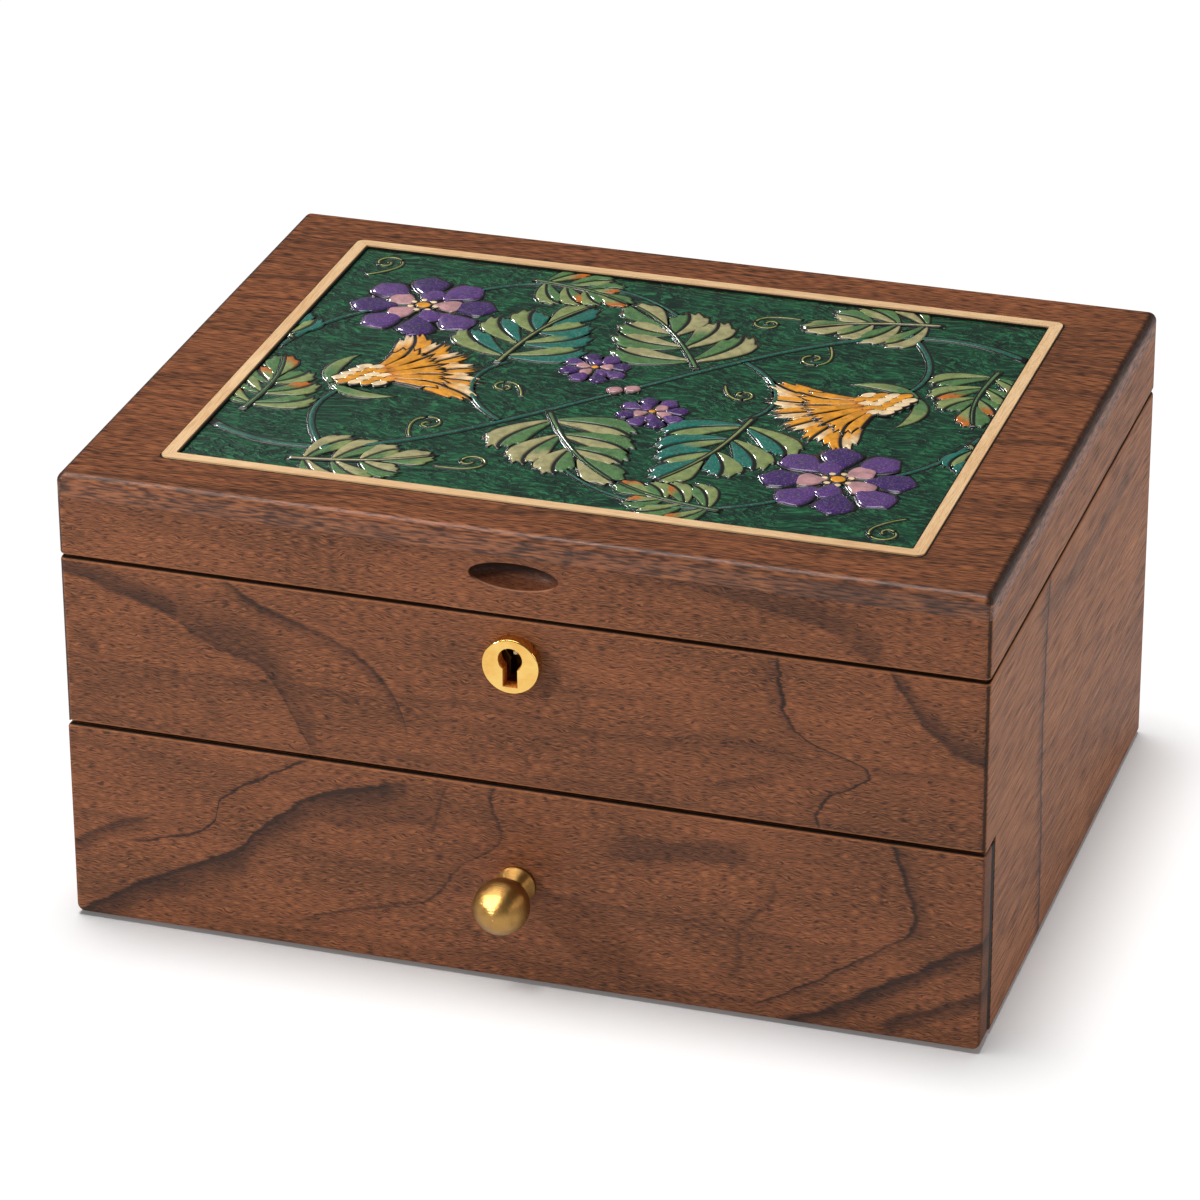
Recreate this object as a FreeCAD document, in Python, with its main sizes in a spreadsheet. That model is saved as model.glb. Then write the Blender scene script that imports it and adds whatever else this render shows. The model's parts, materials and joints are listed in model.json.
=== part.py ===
import FreeCAD, Part
import math
import os
import Sketcher

# A lockable jewellery box in walnut. A full-width drawer runs in the lower half of the
# case, a lined compartment with ring rolls is above it, and a lid on two stop hinges
# carries a framed decorative panel on top and a mirror underneath. A box lock in the
# front panel holds the lid by two staples.
# Millimetres. +X is the box's right as seen from the front, +Y the back, +Z up. The
# origin is the centre of the footprint, on the surface that the box stands on.

SIZES = {
    # the case from outside
    "box_width": 300,
    "box_depth": 226,
    "box_height": 157,
    "lid_height": 28.1,
    "seam_gap": 0.8,
    "wall": 11,
    "corner_radius": 2,
    "edge_radius": 1.1,
    # what closes the case below and in the middle
    "felt_thickness": 1.2,
    "felt_inset_distance": 4,
    "bottom_thickness": 6,
    "dust_board_thickness": 5,
    "dust_board_clearance": 1,
    "groove_depth": 3,
    # lining of the upper compartment
    "lining_thickness": 2.5,
    "lip_height": 3,
    "lip_clearance": 0.4,
    "pad_thickness": 1.5,
    "divider_thickness": 4,
    "divider_height": 38,
    "ring_section_width": 95,
    "rear_tray_depth": 74,
    "ring_roll_count": 5,
    "ring_roll_height": 19,
    "ring_roll_gap": 0.5,
    # drawer
    "drawer_face_height": 68.1,
    "drawer_face_thickness": 12,
    "drawer_face_edge_radius": 1,
    "drawer_face_upper_corner_radius": 1.2,
    "drawer_face_lower_corner_radius": 2.6,
    "drawer_gap": 1,
    "drawer_face_gap": 1.2,
    "drawer_side_thickness": 7,
    "drawer_side_height": 54,
    "drawer_back_height": 58.5,
    "drawer_bottom_thickness": 4,
    "drawer_bottom_clearance": 2.5,
    "drawer_side_clearance": 0.5,
    "drawer_run_clearance": 0.3,
    "drawer_rear_clearance": 4,
    "drawer_housing_depth": 4,
    "drawer_travel": 150,
    "stop_length": 8,
    "stop_width": 30,
    "stop_height": 7.5,
    "drawer_divider_height": 30,
    "drawer_front_tray_depth": 90,
    # drawer knob
    "knob_height": 35.5,
    "knob_ball_radius": 9,
    "knob_ball_distance": 15,
    "knob_collar_radius": 6.5,
    "knob_collar_rim_thickness": 1.2,
    "knob_neck_radius": 4.4,
    "knob_neck_distance": 5,
    "knob_screw_radius": 2,
    "knob_screw_grip_length": 6,
    "knob_screw_head_radius": 4,
    "knob_screw_head_height": 2.6,
    # lid
    "lid_board_thickness": 8,
    "lid_edge_radius": 3,
    "scoop_width": 29,
    "scoop_height": 9.4,
    "scoop_depth": 6,
    "scoop_distance_from_top": 14.7,
    # inlay in the lid
    "inlay_margin_x": 26.2,
    "inlay_margin_y": 20,
    "inlay_radius": 3,
    "inlay_depth": 3.5,
    "outer_line_width": 0.6,
    "banding_width": 4,
    "banding_height_over_lid": 0.5,
    "inner_line_width": 0.6,
    "panel_depth_under_banding": 0.3,
    # mirror inside the lid
    "lid_lining_thickness": 2,
    "mirror_frame_clearance": 14,
    "mirror_frame_width": 8,
    "mirror_frame_thickness": 5,
    "mirror_thickness": 3,
    "mirror_rebate_width": 2.5,
    # hinges
    "hinge_length": 40,
    "hinge_end_distance": 40,
    "leaf_thickness": 1.5,
    "leaf_depth": 8,
    "leaf_gap": 0.2,
    "knuckle_count": 5,
    "knuckle_radius": 2.5,
    "knuckle_clearance": 0.2,
    "hinge_pin_radius": 1.1,
    "hinge_pin_clearance": 0.05,
    "hinge_pin_head_radius": 1.7,
    "hinge_pin_head_height": 0.6,
    "screw_head_radius": 1.7,
    "screw_head_depth": 1,
    "screw_shank_radius": 0.8,
    "screw_length": 7,
    "screw_slot_width": 0.5,
    "screw_slot_depth": 0.4,
    # lock
    "lock_plate_width": 42,
    "lock_plate_height": 27,
    "lock_plate_thickness": 1.2,
    "lock_screw_side_distance": 0.4,
    "lock_screw_low_distance": 1.5,
    "lock_screw_high_distance": 2.5,
    "lock_case_width": 33,
    "lock_case_height": 24,
    "lock_case_depth": 7.2,
    "lock_case_wall": 0.8,
    "selvedge_depth": 8,
    "staple_distance_apart": 16,
    "staple_distance_off_centre": 1,
    "staple_thickness": 2,
    "staple_width": 4.4,
    "staple_length": 8.3,
    "staple_clearance": 0.5,
    "strike_plate_clearance": 1.6,
    "strike_screw_end_distance": 1.5,
    "staple_window_clearance": 1.2,
    "staple_window_height": 3.2,
    "staple_window_width": 2.4,
    "bolt_throw_length": 3.6,
    "bolt_finger_height": 2.6,
    "bolt_finger_thickness": 1.8,
    "bolt_finger_length": 3.8,
    "bolt_tip_clearance": 0.2,
    "bolt_arm_width": 2,
    "bolt_bar_height": 2.4,
    "bolt_bar_thickness": 4.8,
    "bolt_talon_width": 4,
    "bolt_talon_depth": 1,
    "bolt_spring_thickness": 0.4,
    "drill_pin_radius": 1.2,
    "drill_pin_depth_in_keyhole": 5.5,
    # escutcheon and keyhole
    "escutcheon_radius": 9.2,
    "escutcheon_thickness": 4,
    "escutcheon_edge_radius": 0.8,
    "escutcheon_distance_from_seam": 14.5,
    "escutcheon_spigot_radius": 8,
    "keyhole_height_over_centre": 2.3,
    "keyhole_radius": 3.9,
    "keyhole_slot_width": 4.6,
    "keyhole_height": 13,
}

# Where a 45 degree line meets a quarter round of radius 1, measured in from its corner.
MITRE_INSET = 1 - math.sqrt(0.5)
# How far a cutting shape reaches past the faces that it opens.
PAST = 1


class Size:
    """A length in the model: its present value, and the sheet expression behind it."""

    def __init__(self, value, text):
        self.value = value
        self.text = text

    def joined(self, sign, other, value):
        return Size(value, f"({self.text} {sign} {other.text})")

    def __add__(self, other):
        other = as_size(other)
        return self.joined("+", other, self.value + other.value)

    def __sub__(self, other):
        other = as_size(other)
        return self.joined("-", other, self.value - other.value)

    def __mul__(self, other):
        other = as_size(other)
        return self.joined("*", other, self.value * other.value)

    def __truediv__(self, other):
        other = as_size(other)
        return self.joined("/", other, self.value / other.value)

    def __neg__(self):
        return Size(-self.value, f"(-{self.text})")

    def __radd__(self, other):
        return as_size(other) + self

    def __rsub__(self, other):
        return as_size(other) - self

    def __rmul__(self, other):
        return as_size(other) * self


def as_size(number):
    return number if isinstance(number, Size) else Size(number, repr(number))


def root(size):
    return Size(math.sqrt(size.value), f"sqrt({size.text})")


doc = FreeCAD.newDocument("jewellery_box")
sheet = doc.addObject("Spreadsheet::Sheet", "Sizes")
s = {}
for row, (alias, number) in enumerate(SIZES.items(), 1):
    sheet.set(f"A{row}", alias)
    sheet.set(f"B{row}", str(number))
    sheet.setAlias(f"B{row}", alias)
    s[alias] = Size(number, "Sizes." + alias)
doc.recompute()

pieces = []


def finish(item, name):
    """Name a finished sub-part; its label names its file."""
    item.Label = name
    pieces.append(item)
    return item


# Shaping

def bind(item, property_name, size):
    item.setExpression(property_name, as_size(size).text)


def place(item, x, y, z, turn=None):
    if turn:
        item.Placement = FreeCAD.Placement(FreeCAD.Vector(), turn)
    for axis, size in zip("xyz", (x, y, z)):
        bind(item, "Placement.Base." + axis, size)
    return item


TOWARDS = {
    "up": FreeCAD.Rotation(),
    "down": FreeCAD.Rotation(FreeCAD.Vector(1, 0, 0), 180),
    "right": FreeCAD.Rotation(FreeCAD.Vector(0, 1, 0), 90),
    "front": FreeCAD.Rotation(FreeCAD.Vector(1, 0, 0), 90),
    "back": FreeCAD.Rotation(FreeCAD.Vector(1, 0, 0), -90),
}


def block(name, x, y, z):
    """A box between a low and a high size along each of X, Y and Z."""
    box = doc.addObject("Part::Box", name)
    for side, (low, high) in zip(("Length", "Width", "Height"), (x, y, z)):
        bind(box, side, as_size(high) - low)
    return place(box, x[0], y[0], z[0])


def rod(name, start, towards, radius, length):
    cylinder = doc.addObject("Part::Cylinder", name)
    bind(cylinder, "Radius", radius)
    bind(cylinder, "Height", length)
    return place(cylinder, *start, TOWARDS[towards])


def fuse(name, *items):
    joined = doc.addObject("Part::MultiFuse", name)
    joined.Shapes = list(items)
    return joined


def cut(name, base, *tools):
    result = doc.addObject("Part::Cut", name)
    result.Base = base
    result.Tool = tools[0] if len(tools) == 1 else fuse(name + "_tools", *tools)
    return result


def common(name, one, other):
    result = doc.addObject("Part::Common", name)
    result.Base = one
    result.Tool = other
    return result


def group(name, *items):
    """Separate solids in one node."""
    compound = doc.addObject("Part::Compound", name)
    compound.Links = list(items)
    return compound


def arc_between(start, end, radius):
    """The arc of under a half circle that turns left on its way from start to end."""
    half = (end - start) * 0.5
    middle = start + half
    normal = FreeCAD.Vector(-half.y, half.x, 0).normalize()
    rise = math.sqrt(max(radius * radius - half.Length * half.Length, 0))
    centre = middle + normal * rise
    through = centre - normal * radius
    return Part.Arc(start, through, end)


def outline(body, plane, height, corners):
    """A closed sketch on one of the body's own planes, at a height along its normal.

    A corner is (u, v), or (u, v, radius) where a left-turning arc leaves it. Its sizes
    are tied to the sheet.
    """
    sketch = body.newObject("Sketcher::SketchObject", body.Name + "_sketch")
    role = next(item for item in body.Origin.OriginFeatures if item.Role == plane)
    sketch.AttachmentSupport = [(role, "")]
    sketch.MapMode = "FlatFace"
    bind(sketch, ".AttachmentOffset.Base.z", height)
    points = [FreeCAD.Vector(as_size(c[0]).value, as_size(c[1]).value, 0) for c in corners]
    for index, corner in enumerate(corners):
        start, end = points[index], points[(index + 1) % len(points)]
        if len(corner) == 3:
            side = arc_between(start, end, as_size(corner[2]).value)
        else:
            side = Part.LineSegment(start, end)
        sketch.addGeometry(side, False)
    for index, corner in enumerate(corners):
        following = (index + 1) % len(corners)
        sketch.addConstraint(Sketcher.Constraint("Coincident", index, 2, following, 1))
        for kind, size, zero_axis in (("DistanceX", corner[0], -2), ("DistanceY", corner[1], -1)):
            if as_size(size).text == "0":
                sketch.addConstraint(Sketcher.Constraint("PointOnObject", index, 1, zero_axis))
                continue
            number = sketch.addConstraint(
                Sketcher.Constraint(kind, -1, 1, index, 1, as_size(size).value))
            bind(sketch, f"Constraints[{number}]", size)
        if len(corner) == 3:
            number = sketch.addConstraint(
                Sketcher.Constraint("Radius", index, as_size(corner[2]).value))
            bind(sketch, f"Constraints[{number}]", corner[2])
    return sketch


def padded(name, plane, start, end, corners):
    """A prism on an outline, from start to end along the plane's normal."""
    body = doc.addObject("PartDesign::Body", name)
    pad = body.newObject("PartDesign::Pad", name + "_pad")
    pad.Profile = outline(body, plane, start, corners)
    bind(pad, "Length", as_size(end) - start)
    doc.recompute()
    return body


def turned(name, towards, place_at, profile):
    """A piece turned on a lathe: the profile's points are (radius, distance along)."""
    body = doc.addObject("PartDesign::Body", name)
    turn = body.newObject("PartDesign::Revolution", name + "_turn")
    sketch = outline(body, "XZ_Plane", 0, profile)
    turn.Profile = sketch
    turn.ReferenceAxis = (sketch, ["V_Axis"])
    turn.Angle = 360
    return place(body, *place_at, TOWARDS[towards])


def ease(body, radius, chosen):
    """Round the edges of a body that the test on their corner points picks."""
    doc.recompute()
    base = body.Tip
    names = [f"Edge{number}" for number, edge in enumerate(base.Shape.Edges, 1)
             if all(chosen(vertex.Point) for vertex in edge.Vertexes)]
    fillet = body.newObject("PartDesign::Fillet", f"{body.Name}_ease")
    fillet.Base = (base, names)
    bind(fillet, "Radius", radius)
    return body


def near(number, size):
    return abs(number - as_size(size).value) < 0.01


def rounded_plate(name, x, y, z, radius):
    """A plate with round corners in plan."""
    corners = [
        (x[0] + radius, y[0]), (x[1] - radius, y[0], radius),
        (x[1], y[0] + radius), (x[1], y[1] - radius, radius),
        (x[1] - radius, y[1]), (x[0] + radius, y[1], radius),
        (x[0], y[1] - radius), (x[0], y[0] + radius, radius),
    ]
    return padded(name, "XY_Plane", z[0], z[1], corners)


def mitred_board(name, side, half_x, half_y, width, z, radius):
    """One board of a rectangular frame, cut at 45 degrees, with its outer corners round."""
    tip = radius * MITRE_INSET
    across, deep = (half_x, half_y) if side in ("front", "back") else (half_y, half_x)
    corners = [
        (-across + tip, -deep + tip, radius), (-across + radius, -deep),
        (across - radius, -deep, radius), (across - tip, -deep + tip),
        (across - width, -deep + width), (-across + width, -deep + width),
    ]
    quarter_turns = {"front": 0, "right": 1, "back": 2, "left": 3}[side]
    for turn in range(quarter_turns):
        corners = [(-corner[1], corner[0], *corner[2:]) for corner in corners]
    return padded(name, "XY_Plane", z[0], z[1], corners)


def outer_edge_test(side, half_x, half_y, radius, height):
    """Picks the edges at a height that lie along a frame board's outside."""
    reach = (half_y if side in ("front", "back") else half_x) - radius * MITRE_INSET
    sign = {"front": (0, -1), "back": (0, 1), "left": (-1, 0), "right": (1, 0)}[side]

    def chosen(point):
        outwards = point.x * sign[0] + point.y * sign[1]
        return near(point.z, height) and outwards > reach.value - 0.01

    return chosen


SIDES = ("front", "back", "left", "right")


def on_side(sign, near_x, far_x):
    """A span of X on the right of the box, or its mirror image on the left."""
    return (near_x, far_x) if sign > 0 else (-far_x, -near_x)


# Heights and faces that several pieces share

half_width = s["box_width"] / 2
half_depth = s["box_depth"] / 2
front_y = -half_depth
back_y = half_depth
wood_bottom = s["felt_thickness"]
lid_bottom = s["box_height"] - s["lid_height"]
body_top = lid_bottom - s["seam_gap"]
lid_board_bottom = s["box_height"] - s["lid_board_thickness"]
inner_x = half_width - s["wall"]
inner_y = half_depth - s["wall"]
drawer_top = wood_bottom + s["drawer_face_height"]
panel_bottom = drawer_top + s["drawer_gap"]
face_back_y = front_y + s["drawer_face_thickness"]
notch_back_y = face_back_y + s["drawer_face_gap"]
case_floor = wood_bottom + s["bottom_thickness"]
dust_bottom = panel_bottom + s["dust_board_clearance"]
dust_top = dust_bottom + s["dust_board_thickness"]
lip_top = body_top + s["lip_height"]

# Hinge axis, and the keyhole's line

hinge_y = back_y + s["knuckle_radius"] + s["knuckle_clearance"]
hinge_z = body_top + s["seam_gap"] / 2
escutcheon_z = body_top - s["escutcheon_distance_from_seam"]
keyhole_z = escutcheon_z + s["keyhole_height_over_centre"]


def screw_bodies(name, points, towards):
    """Countersunk slotted screws, heads flush at the points: holes to cut, and screws."""
    holes = []
    screws = []
    head, shank = s["screw_head_radius"], s["screw_shank_radius"]
    for number, (x, y, z) in enumerate(points, 1):
        profile = [
            (0, -s["screw_length"]), (shank, -s["screw_length"] + shank * 2),
            (shank, -s["screw_head_depth"]), (head, 0), (0, 0),
        ]
        blank = turned(f"{name}_blank_{number}", towards, (x, y, z), profile)
        slot_half = s["screw_slot_width"] / 2
        depth = s["screw_slot_depth"]
        heights = {"up": (z - depth, z + PAST), "down": (z - PAST, z + depth)}.get(towards)
        if towards == "back":
            slot = block(f"{name}_slot_{number}", (x - head, x + head), (y - depth, y + PAST),
                         (z - slot_half, z + slot_half))
        else:
            slot = block(f"{name}_slot_{number}", (x - head, x + head),
                         (y - slot_half, y + slot_half), heights)
        holes.append(blank)
        screws.append(cut(f"{name}_screw_{number}", blank, slot))
    return holes, screws


# Hinges: leaves let into the top of the back panel and the underside of the lid

class Hinge:
    """The pieces of one butt hinge and the room that its leaves take in the wood."""

    def __init__(self, side):
        sign = -1 if side == "left" else 1
        half = s["hinge_length"] / 2
        middle = (half_width - s["hinge_end_distance"] - half) * sign
        self.side = side
        self.x = (middle - half, middle + half)
        leaf_front = back_y - s["leaf_depth"]
        self.z = {
            "lower": (hinge_z - s["leaf_gap"] / 2 - s["leaf_thickness"],
                      hinge_z - s["leaf_gap"] / 2),
            "upper": (hinge_z + s["leaf_gap"] / 2,
                      hinge_z + s["leaf_gap"] / 2 + s["leaf_thickness"]),
        }
        self.leaf_y = (leaf_front, hinge_y)
        screw_y = back_y - s["leaf_depth"] / 2
        step = s["hinge_length"] / 3
        self.screw_xy = [(middle + step * share, screw_y) for share in (-1, 0, 1)]

    def mortise(self, level, name):
        """The room for a leaf, open to the back and to the seam."""
        low, high = self.z[level]
        reach = (low, high + PAST) if level == "lower" else (low - PAST, high)
        return block(name, self.x, (self.leaf_y[0], back_y + PAST), reach)

    def leaf(self, level, screw_holes):
        name = f"hinge_leaf_{level}_{self.side}"
        plate = block(name + "_plate", self.x, self.leaf_y, self.z[level])
        share = s["hinge_length"] / s["knuckle_count"]
        play = s["knuckle_clearance"] / 2
        knuckles = []
        reliefs = []
        for number in range(SIZES["knuckle_count"]):
            start = self.x[0] + share * number
            own = (number % 2 == 0) == (level == "lower")
            if own:
                knuckles.append(rod(f"{name}_knuckle_{number}",
                                    (start + play, hinge_y, hinge_z), "right",
                                    s["knuckle_radius"], share - play * 2))
            else:
                reliefs.append(block(f"{name}_relief_{number}", (start, start + share),
                                     (back_y, hinge_y + PAST),
                                     (self.z[level][0] - PAST, self.z[level][1] + PAST)))
        bore = s["hinge_pin_radius"]
        if level == "upper":
            bore = bore + s["hinge_pin_clearance"]
        hole = rod(name + "_bore", (self.x[0] - PAST, hinge_y, hinge_z), "right",
                   bore, s["hinge_length"] + PAST * 2)
        trimmed = cut(name + "_trimmed", plate, *reliefs)
        whole = fuse(name + "_whole", trimmed, *knuckles)
        return finish(cut(name, whole, hole, *screw_holes), name)

    def pin(self):
        name = f"hinge_pin_{self.side}"
        head = s["hinge_pin_head_height"]
        radius, head_radius = s["hinge_pin_radius"], s["hinge_pin_head_radius"]
        length = s["hinge_length"]
        profile = [
            (0, -head), (head_radius, -head), (head_radius, 0), (radius, 0),
            (radius, length), (head_radius, length), (head_radius, length + head),
            (0, length + head),
        ]
        return turned(name, "right", (self.x[0], hinge_y, hinge_z), profile)


hinges = [Hinge("left"), Hinge("right")]
lower_holes, lower_screws = screw_bodies(
    "hinge_screw_lower",
    [(x, y, hinge.z["lower"][1]) for hinge in hinges for x, y in hinge.screw_xy], "up")
upper_holes, upper_screws = screw_bodies(
    "hinge_screw_upper",
    [(x, y, hinge.z["upper"][0]) for hinge in hinges for x, y in hinge.screw_xy], "down")
for index, hinge in enumerate(hinges):
    own = slice(index * 3, index * 3 + 3)
    hinge.leaf("lower", lower_holes[own])
    hinge.leaf("upper", upper_holes[own])
finish(group("hinge_pins", *[hinge.pin() for hinge in hinges]), "hinge_pins")
finish(group("hinge_screws_lower", *lower_screws), "hinge_screws_lower")
finish(group("hinge_screws_upper", *upper_screws), "hinge_screws_upper")


# Lock: a box lock let into the inside of the front panel

lock_back_y = front_y + s["wall"]
plate_y = (lock_back_y - s["lock_plate_thickness"], lock_back_y)
case_front_y = lock_back_y - s["lock_case_depth"]
cap_y = (case_front_y, case_front_y + s["lock_case_wall"])
case_y = (cap_y[1], plate_y[0])
case_half = s["lock_case_width"] / 2
case_x = (-case_half, case_half)
case_z = (body_top - s["lock_case_height"], body_top - s["lock_plate_thickness"])
lock_plate_x = (-s["lock_plate_width"] / 2, s["lock_plate_width"] / 2)
lock_plate_z = (body_top - s["lock_plate_height"], body_top)
selvedge_y = (lock_back_y - s["selvedge_depth"], lock_back_y)
selvedge_z = (body_top - s["lock_plate_thickness"], body_top)
lock_mid_y = (case_y[0] + case_y[1]) / 2

# The staples hang through the selvedge, and the bolt's fingers pass through them.
staple_x = []
for sign in (-1, 1):
    middle = s["staple_distance_apart"] / 2 * sign + s["staple_distance_off_centre"]
    staple_x.append((middle - s["staple_thickness"] / 2, middle + s["staple_thickness"] / 2))
staple_y = (lock_mid_y - s["staple_width"] / 2, lock_mid_y + s["staple_width"] / 2)
staple_low = lid_bottom - s["staple_length"]
window_low = staple_low + s["staple_window_clearance"]
finger_low = window_low + (s["staple_window_height"] - s["bolt_finger_height"]) / 2


def keyhole_cutters(name, y):
    """A round hole and the slot below it, cut along Y."""
    half_slot = s["keyhole_slot_width"] / 2
    bottom = keyhole_z + s["keyhole_radius"] - s["keyhole_height"]
    return (
        rod(name + "_round", (0, y[0], keyhole_z), "back", s["keyhole_radius"], y[1] - y[0]),
        block(name + "_slot", (-half_slot, half_slot), y, (bottom, keyhole_z)),
    )


lock_screw_x = (s["lock_plate_width"] / 2 - s["screw_head_radius"]
                - s["lock_screw_side_distance"])
lock_screw_z = (lock_plate_z[0] + s["screw_head_radius"] + s["lock_screw_low_distance"],
                case_z[1] - s["screw_head_radius"] - s["lock_screw_high_distance"])
lock_screw_points = [(lock_screw_x * sign, lock_back_y, z)
                     for sign in (-1, 1) for z in lock_screw_z]
lock_holes, lock_screws = screw_bodies("lock_screw", lock_screw_points, "back")
finish(group("lock_screws", *lock_screws), "lock_screws")


def make_lock_case():
    wall = s["lock_case_wall"]
    shell = block("lock_shell", case_x, case_y, case_z)
    room = block("lock_room", (case_x[0] + wall, case_x[1] - wall),
                 (case_y[0] - PAST, case_y[1]), (case_z[0] + wall, case_z[1]))
    walls = cut("lock_walls", shell, room)
    plate = block("lock_plate", lock_plate_x, plate_y, lock_plate_z)
    selvedge = block("lock_selvedge", lock_plate_x, selvedge_y, selvedge_z)
    whole = fuse("lock_whole", plate, selvedge, walls)
    gap = s["staple_clearance"]
    slots = [block(f"staple_slot_{number}", (x[0] - gap, x[1] + gap),
                   (staple_y[0] - gap, staple_y[1] + gap),
                   (selvedge_z[0] - PAST, selvedge_z[1] + PAST))
             for number, x in enumerate(staple_x, 1)]
    pin_hole = rod("drill_pin_hole", (0, plate_y[0] - PAST, keyhole_z), "back",
                   s["drill_pin_radius"], s["lock_plate_thickness"] + PAST * 2)
    finish(cut("lock_case", whole, pin_hole, *slots, *lock_holes), "lock_case")


def make_lock_cap():
    blank = block("lock_cap_blank", case_x, cap_y, case_z)
    hole = keyhole_cutters("lock_cap_keyhole", (cap_y[0] - PAST, cap_y[1] + PAST))
    finish(cut("lock_cap", blank, *hole), "lock_cap")


def make_drill_pin():
    """Riveted flush in the back plate; the key's pipe slides over it."""
    radius = s["drill_pin_radius"]
    tip_y = front_y - s["escutcheon_thickness"] + s["drill_pin_depth_in_keyhole"]
    length = lock_back_y - tip_y
    profile = [(0, 0), (radius, 0), (radius, length - radius), (radius / 2, length), (0, length)]
    finish(turned("lock_drill_pin", "front", (0, lock_back_y, keyhole_z), profile),
           "lock_drill_pin")


def make_lock_bolt():
    """A bar with two arms; a finger on each arm slides sideways into a staple."""
    bar_high = staple_low - s["bolt_tip_clearance"] * 2
    bar_low = bar_high - s["bolt_bar_height"]
    half_bar = s["bolt_bar_thickness"] / 2
    half_finger = s["bolt_finger_thickness"] / 2
    finger_z = (finger_low, finger_low + s["bolt_finger_height"])
    parts = []
    arm_x = []
    for number, x in enumerate(staple_x, 1):
        tip = x[0] - s["bolt_tip_clearance"]
        arm = (tip - s["bolt_finger_length"] - s["bolt_arm_width"], tip - s["bolt_finger_length"])
        arm_x.append(arm)
        parts.append(block(f"bolt_finger_{number}", (arm[0], tip),
                           (lock_mid_y - half_finger, lock_mid_y + half_finger), finger_z))
        parts.append(block(f"bolt_arm_{number}", arm,
                           (lock_mid_y - half_bar, lock_mid_y + half_bar),
                           (bar_low, finger_z[1])))
    bar = block("bolt_bar", (arm_x[0][0], arm_x[1][1]),
                (lock_mid_y - half_bar, lock_mid_y + half_bar), (bar_low, bar_high))
    whole = fuse("lock_bolt_whole", bar, *parts)
    half_talon = s["bolt_talon_width"] / 2
    talon = block("bolt_talon", (-half_talon, half_talon), (case_y[0] - PAST, case_y[1] + PAST),
                  (bar_low - PAST, bar_low + s["bolt_talon_depth"]))
    finish(cut("lock_bolt", whole, talon), "lock_bolt")
    return arm_x, bar_low


def make_lock_spring(arm_x, bar_low):
    """A leaf that stands in the case's lower corner and presses up on the bolt's bar."""
    thick = s["bolt_spring_thickness"]
    low = case_z[0] + s["lock_case_wall"]
    left = case_x[0] + s["lock_case_wall"]
    top = bar_low - s["bolt_tip_clearance"]
    reach = arm_x[0][1] - left
    corners = [
        (left, low), (left + reach * 2, low), (left + reach * 2, low + thick),
        (left + thick, low + thick), (left + thick, top - thick * 3),
        (left + reach, top - thick), (left + reach, top), (left, top - thick * 2),
    ]
    half = s["bolt_bar_thickness"] / 2
    finish(padded("lock_spring", "XZ_Plane", -lock_mid_y - half, -lock_mid_y + half, corners),
           "lock_spring")


def make_escutcheon():
    radius, thick = s["escutcheon_radius"], s["escutcheon_thickness"]
    rim = s["escutcheon_edge_radius"]
    spigot = s["wall"] - s["lock_case_depth"]
    hole_y = (front_y - thick - PAST, front_y + spigot + PAST)
    profile = [
        (0, -spigot), (s["escutcheon_spigot_radius"], -spigot),
        (s["escutcheon_spigot_radius"], 0), (radius, 0), (radius, thick - rim, rim),
        (radius - rim, thick), (0, thick),
    ]
    blank = turned("escutcheon_blank", "front", (0, front_y, escutcheon_z), profile)
    hole = keyhole_cutters("escutcheon_keyhole", hole_y)
    finish(cut("escutcheon", blank, *hole), "escutcheon")


def make_strike():
    """A plate under the front of the lid, with two staples for the bolt's fingers."""
    z = (lid_bottom, lid_bottom + s["lock_plate_thickness"])
    y = (selvedge_y[0], lock_back_y - s["strike_plate_clearance"])
    plate = block("strike_plate_blank", lock_plate_x, y, z)
    half_window = s["staple_window_width"] / 2
    parts = []
    windows = []
    for number, x in enumerate(staple_x, 1):
        parts.append(block(f"staple_{number}", x, staple_y,
                           (staple_low, lid_bottom + s["lock_plate_thickness"] / 2)))
        windows.append(block(f"staple_window_{number}", (x[0] - PAST, x[1] + PAST),
                             (lock_mid_y - half_window, lock_mid_y + half_window),
                             (window_low, window_low + s["staple_window_height"])))
    whole = fuse("strike_whole", plate, *parts)
    screw_x = (s["lock_plate_width"] / 2 - s["screw_head_radius"]
               - s["strike_screw_end_distance"])
    points = [(screw_x * sign, (y[0] + y[1]) / 2, z[0]) for sign in (-1, 1)]
    holes, screws = screw_bodies("strike_screw", points, "down")
    finish(cut("strike_plate", whole, *windows, *holes), "strike_plate")
    finish(group("strike_screws", *screws), "strike_screws")
    recess = block("strike_recess", lock_plate_x, y, (z[0] - PAST, z[1]))
    return [recess] + holes


make_lock_case()
make_lock_cap()
make_drill_pin()
bolt_arms, bolt_low = make_lock_bolt()
make_lock_spring(bolt_arms, bolt_low)
make_escutcheon()
strike_room = make_strike()


# Case

def make_sides():
    for side in ("left", "right"):
        name = f"carcase_{side}_side"
        blank = mitred_board(name + "_blank", side, half_width, half_depth, s["wall"],
                             (wood_bottom, body_top), s["corner_radius"])
        for height in (wood_bottom, body_top):
            ease(blank, s["edge_radius"],
                 outer_edge_test(side, half_width, half_depth, s["corner_radius"], height))
        sign = -1 if side == "left" else 1
        notch = block(name + "_notch", on_side(sign, inner_x - PAST, half_width + PAST),
                      (front_y - PAST, notch_back_y), (wood_bottom - PAST, panel_bottom))
        groove = block(name + "_groove", on_side(sign, inner_x - PAST, inner_x + s["groove_depth"]),
                       (-inner_y - s["groove_depth"], inner_y + s["groove_depth"]),
                       (dust_bottom, dust_top))
        finish(cut(name, blank, notch, groove), name)


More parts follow.
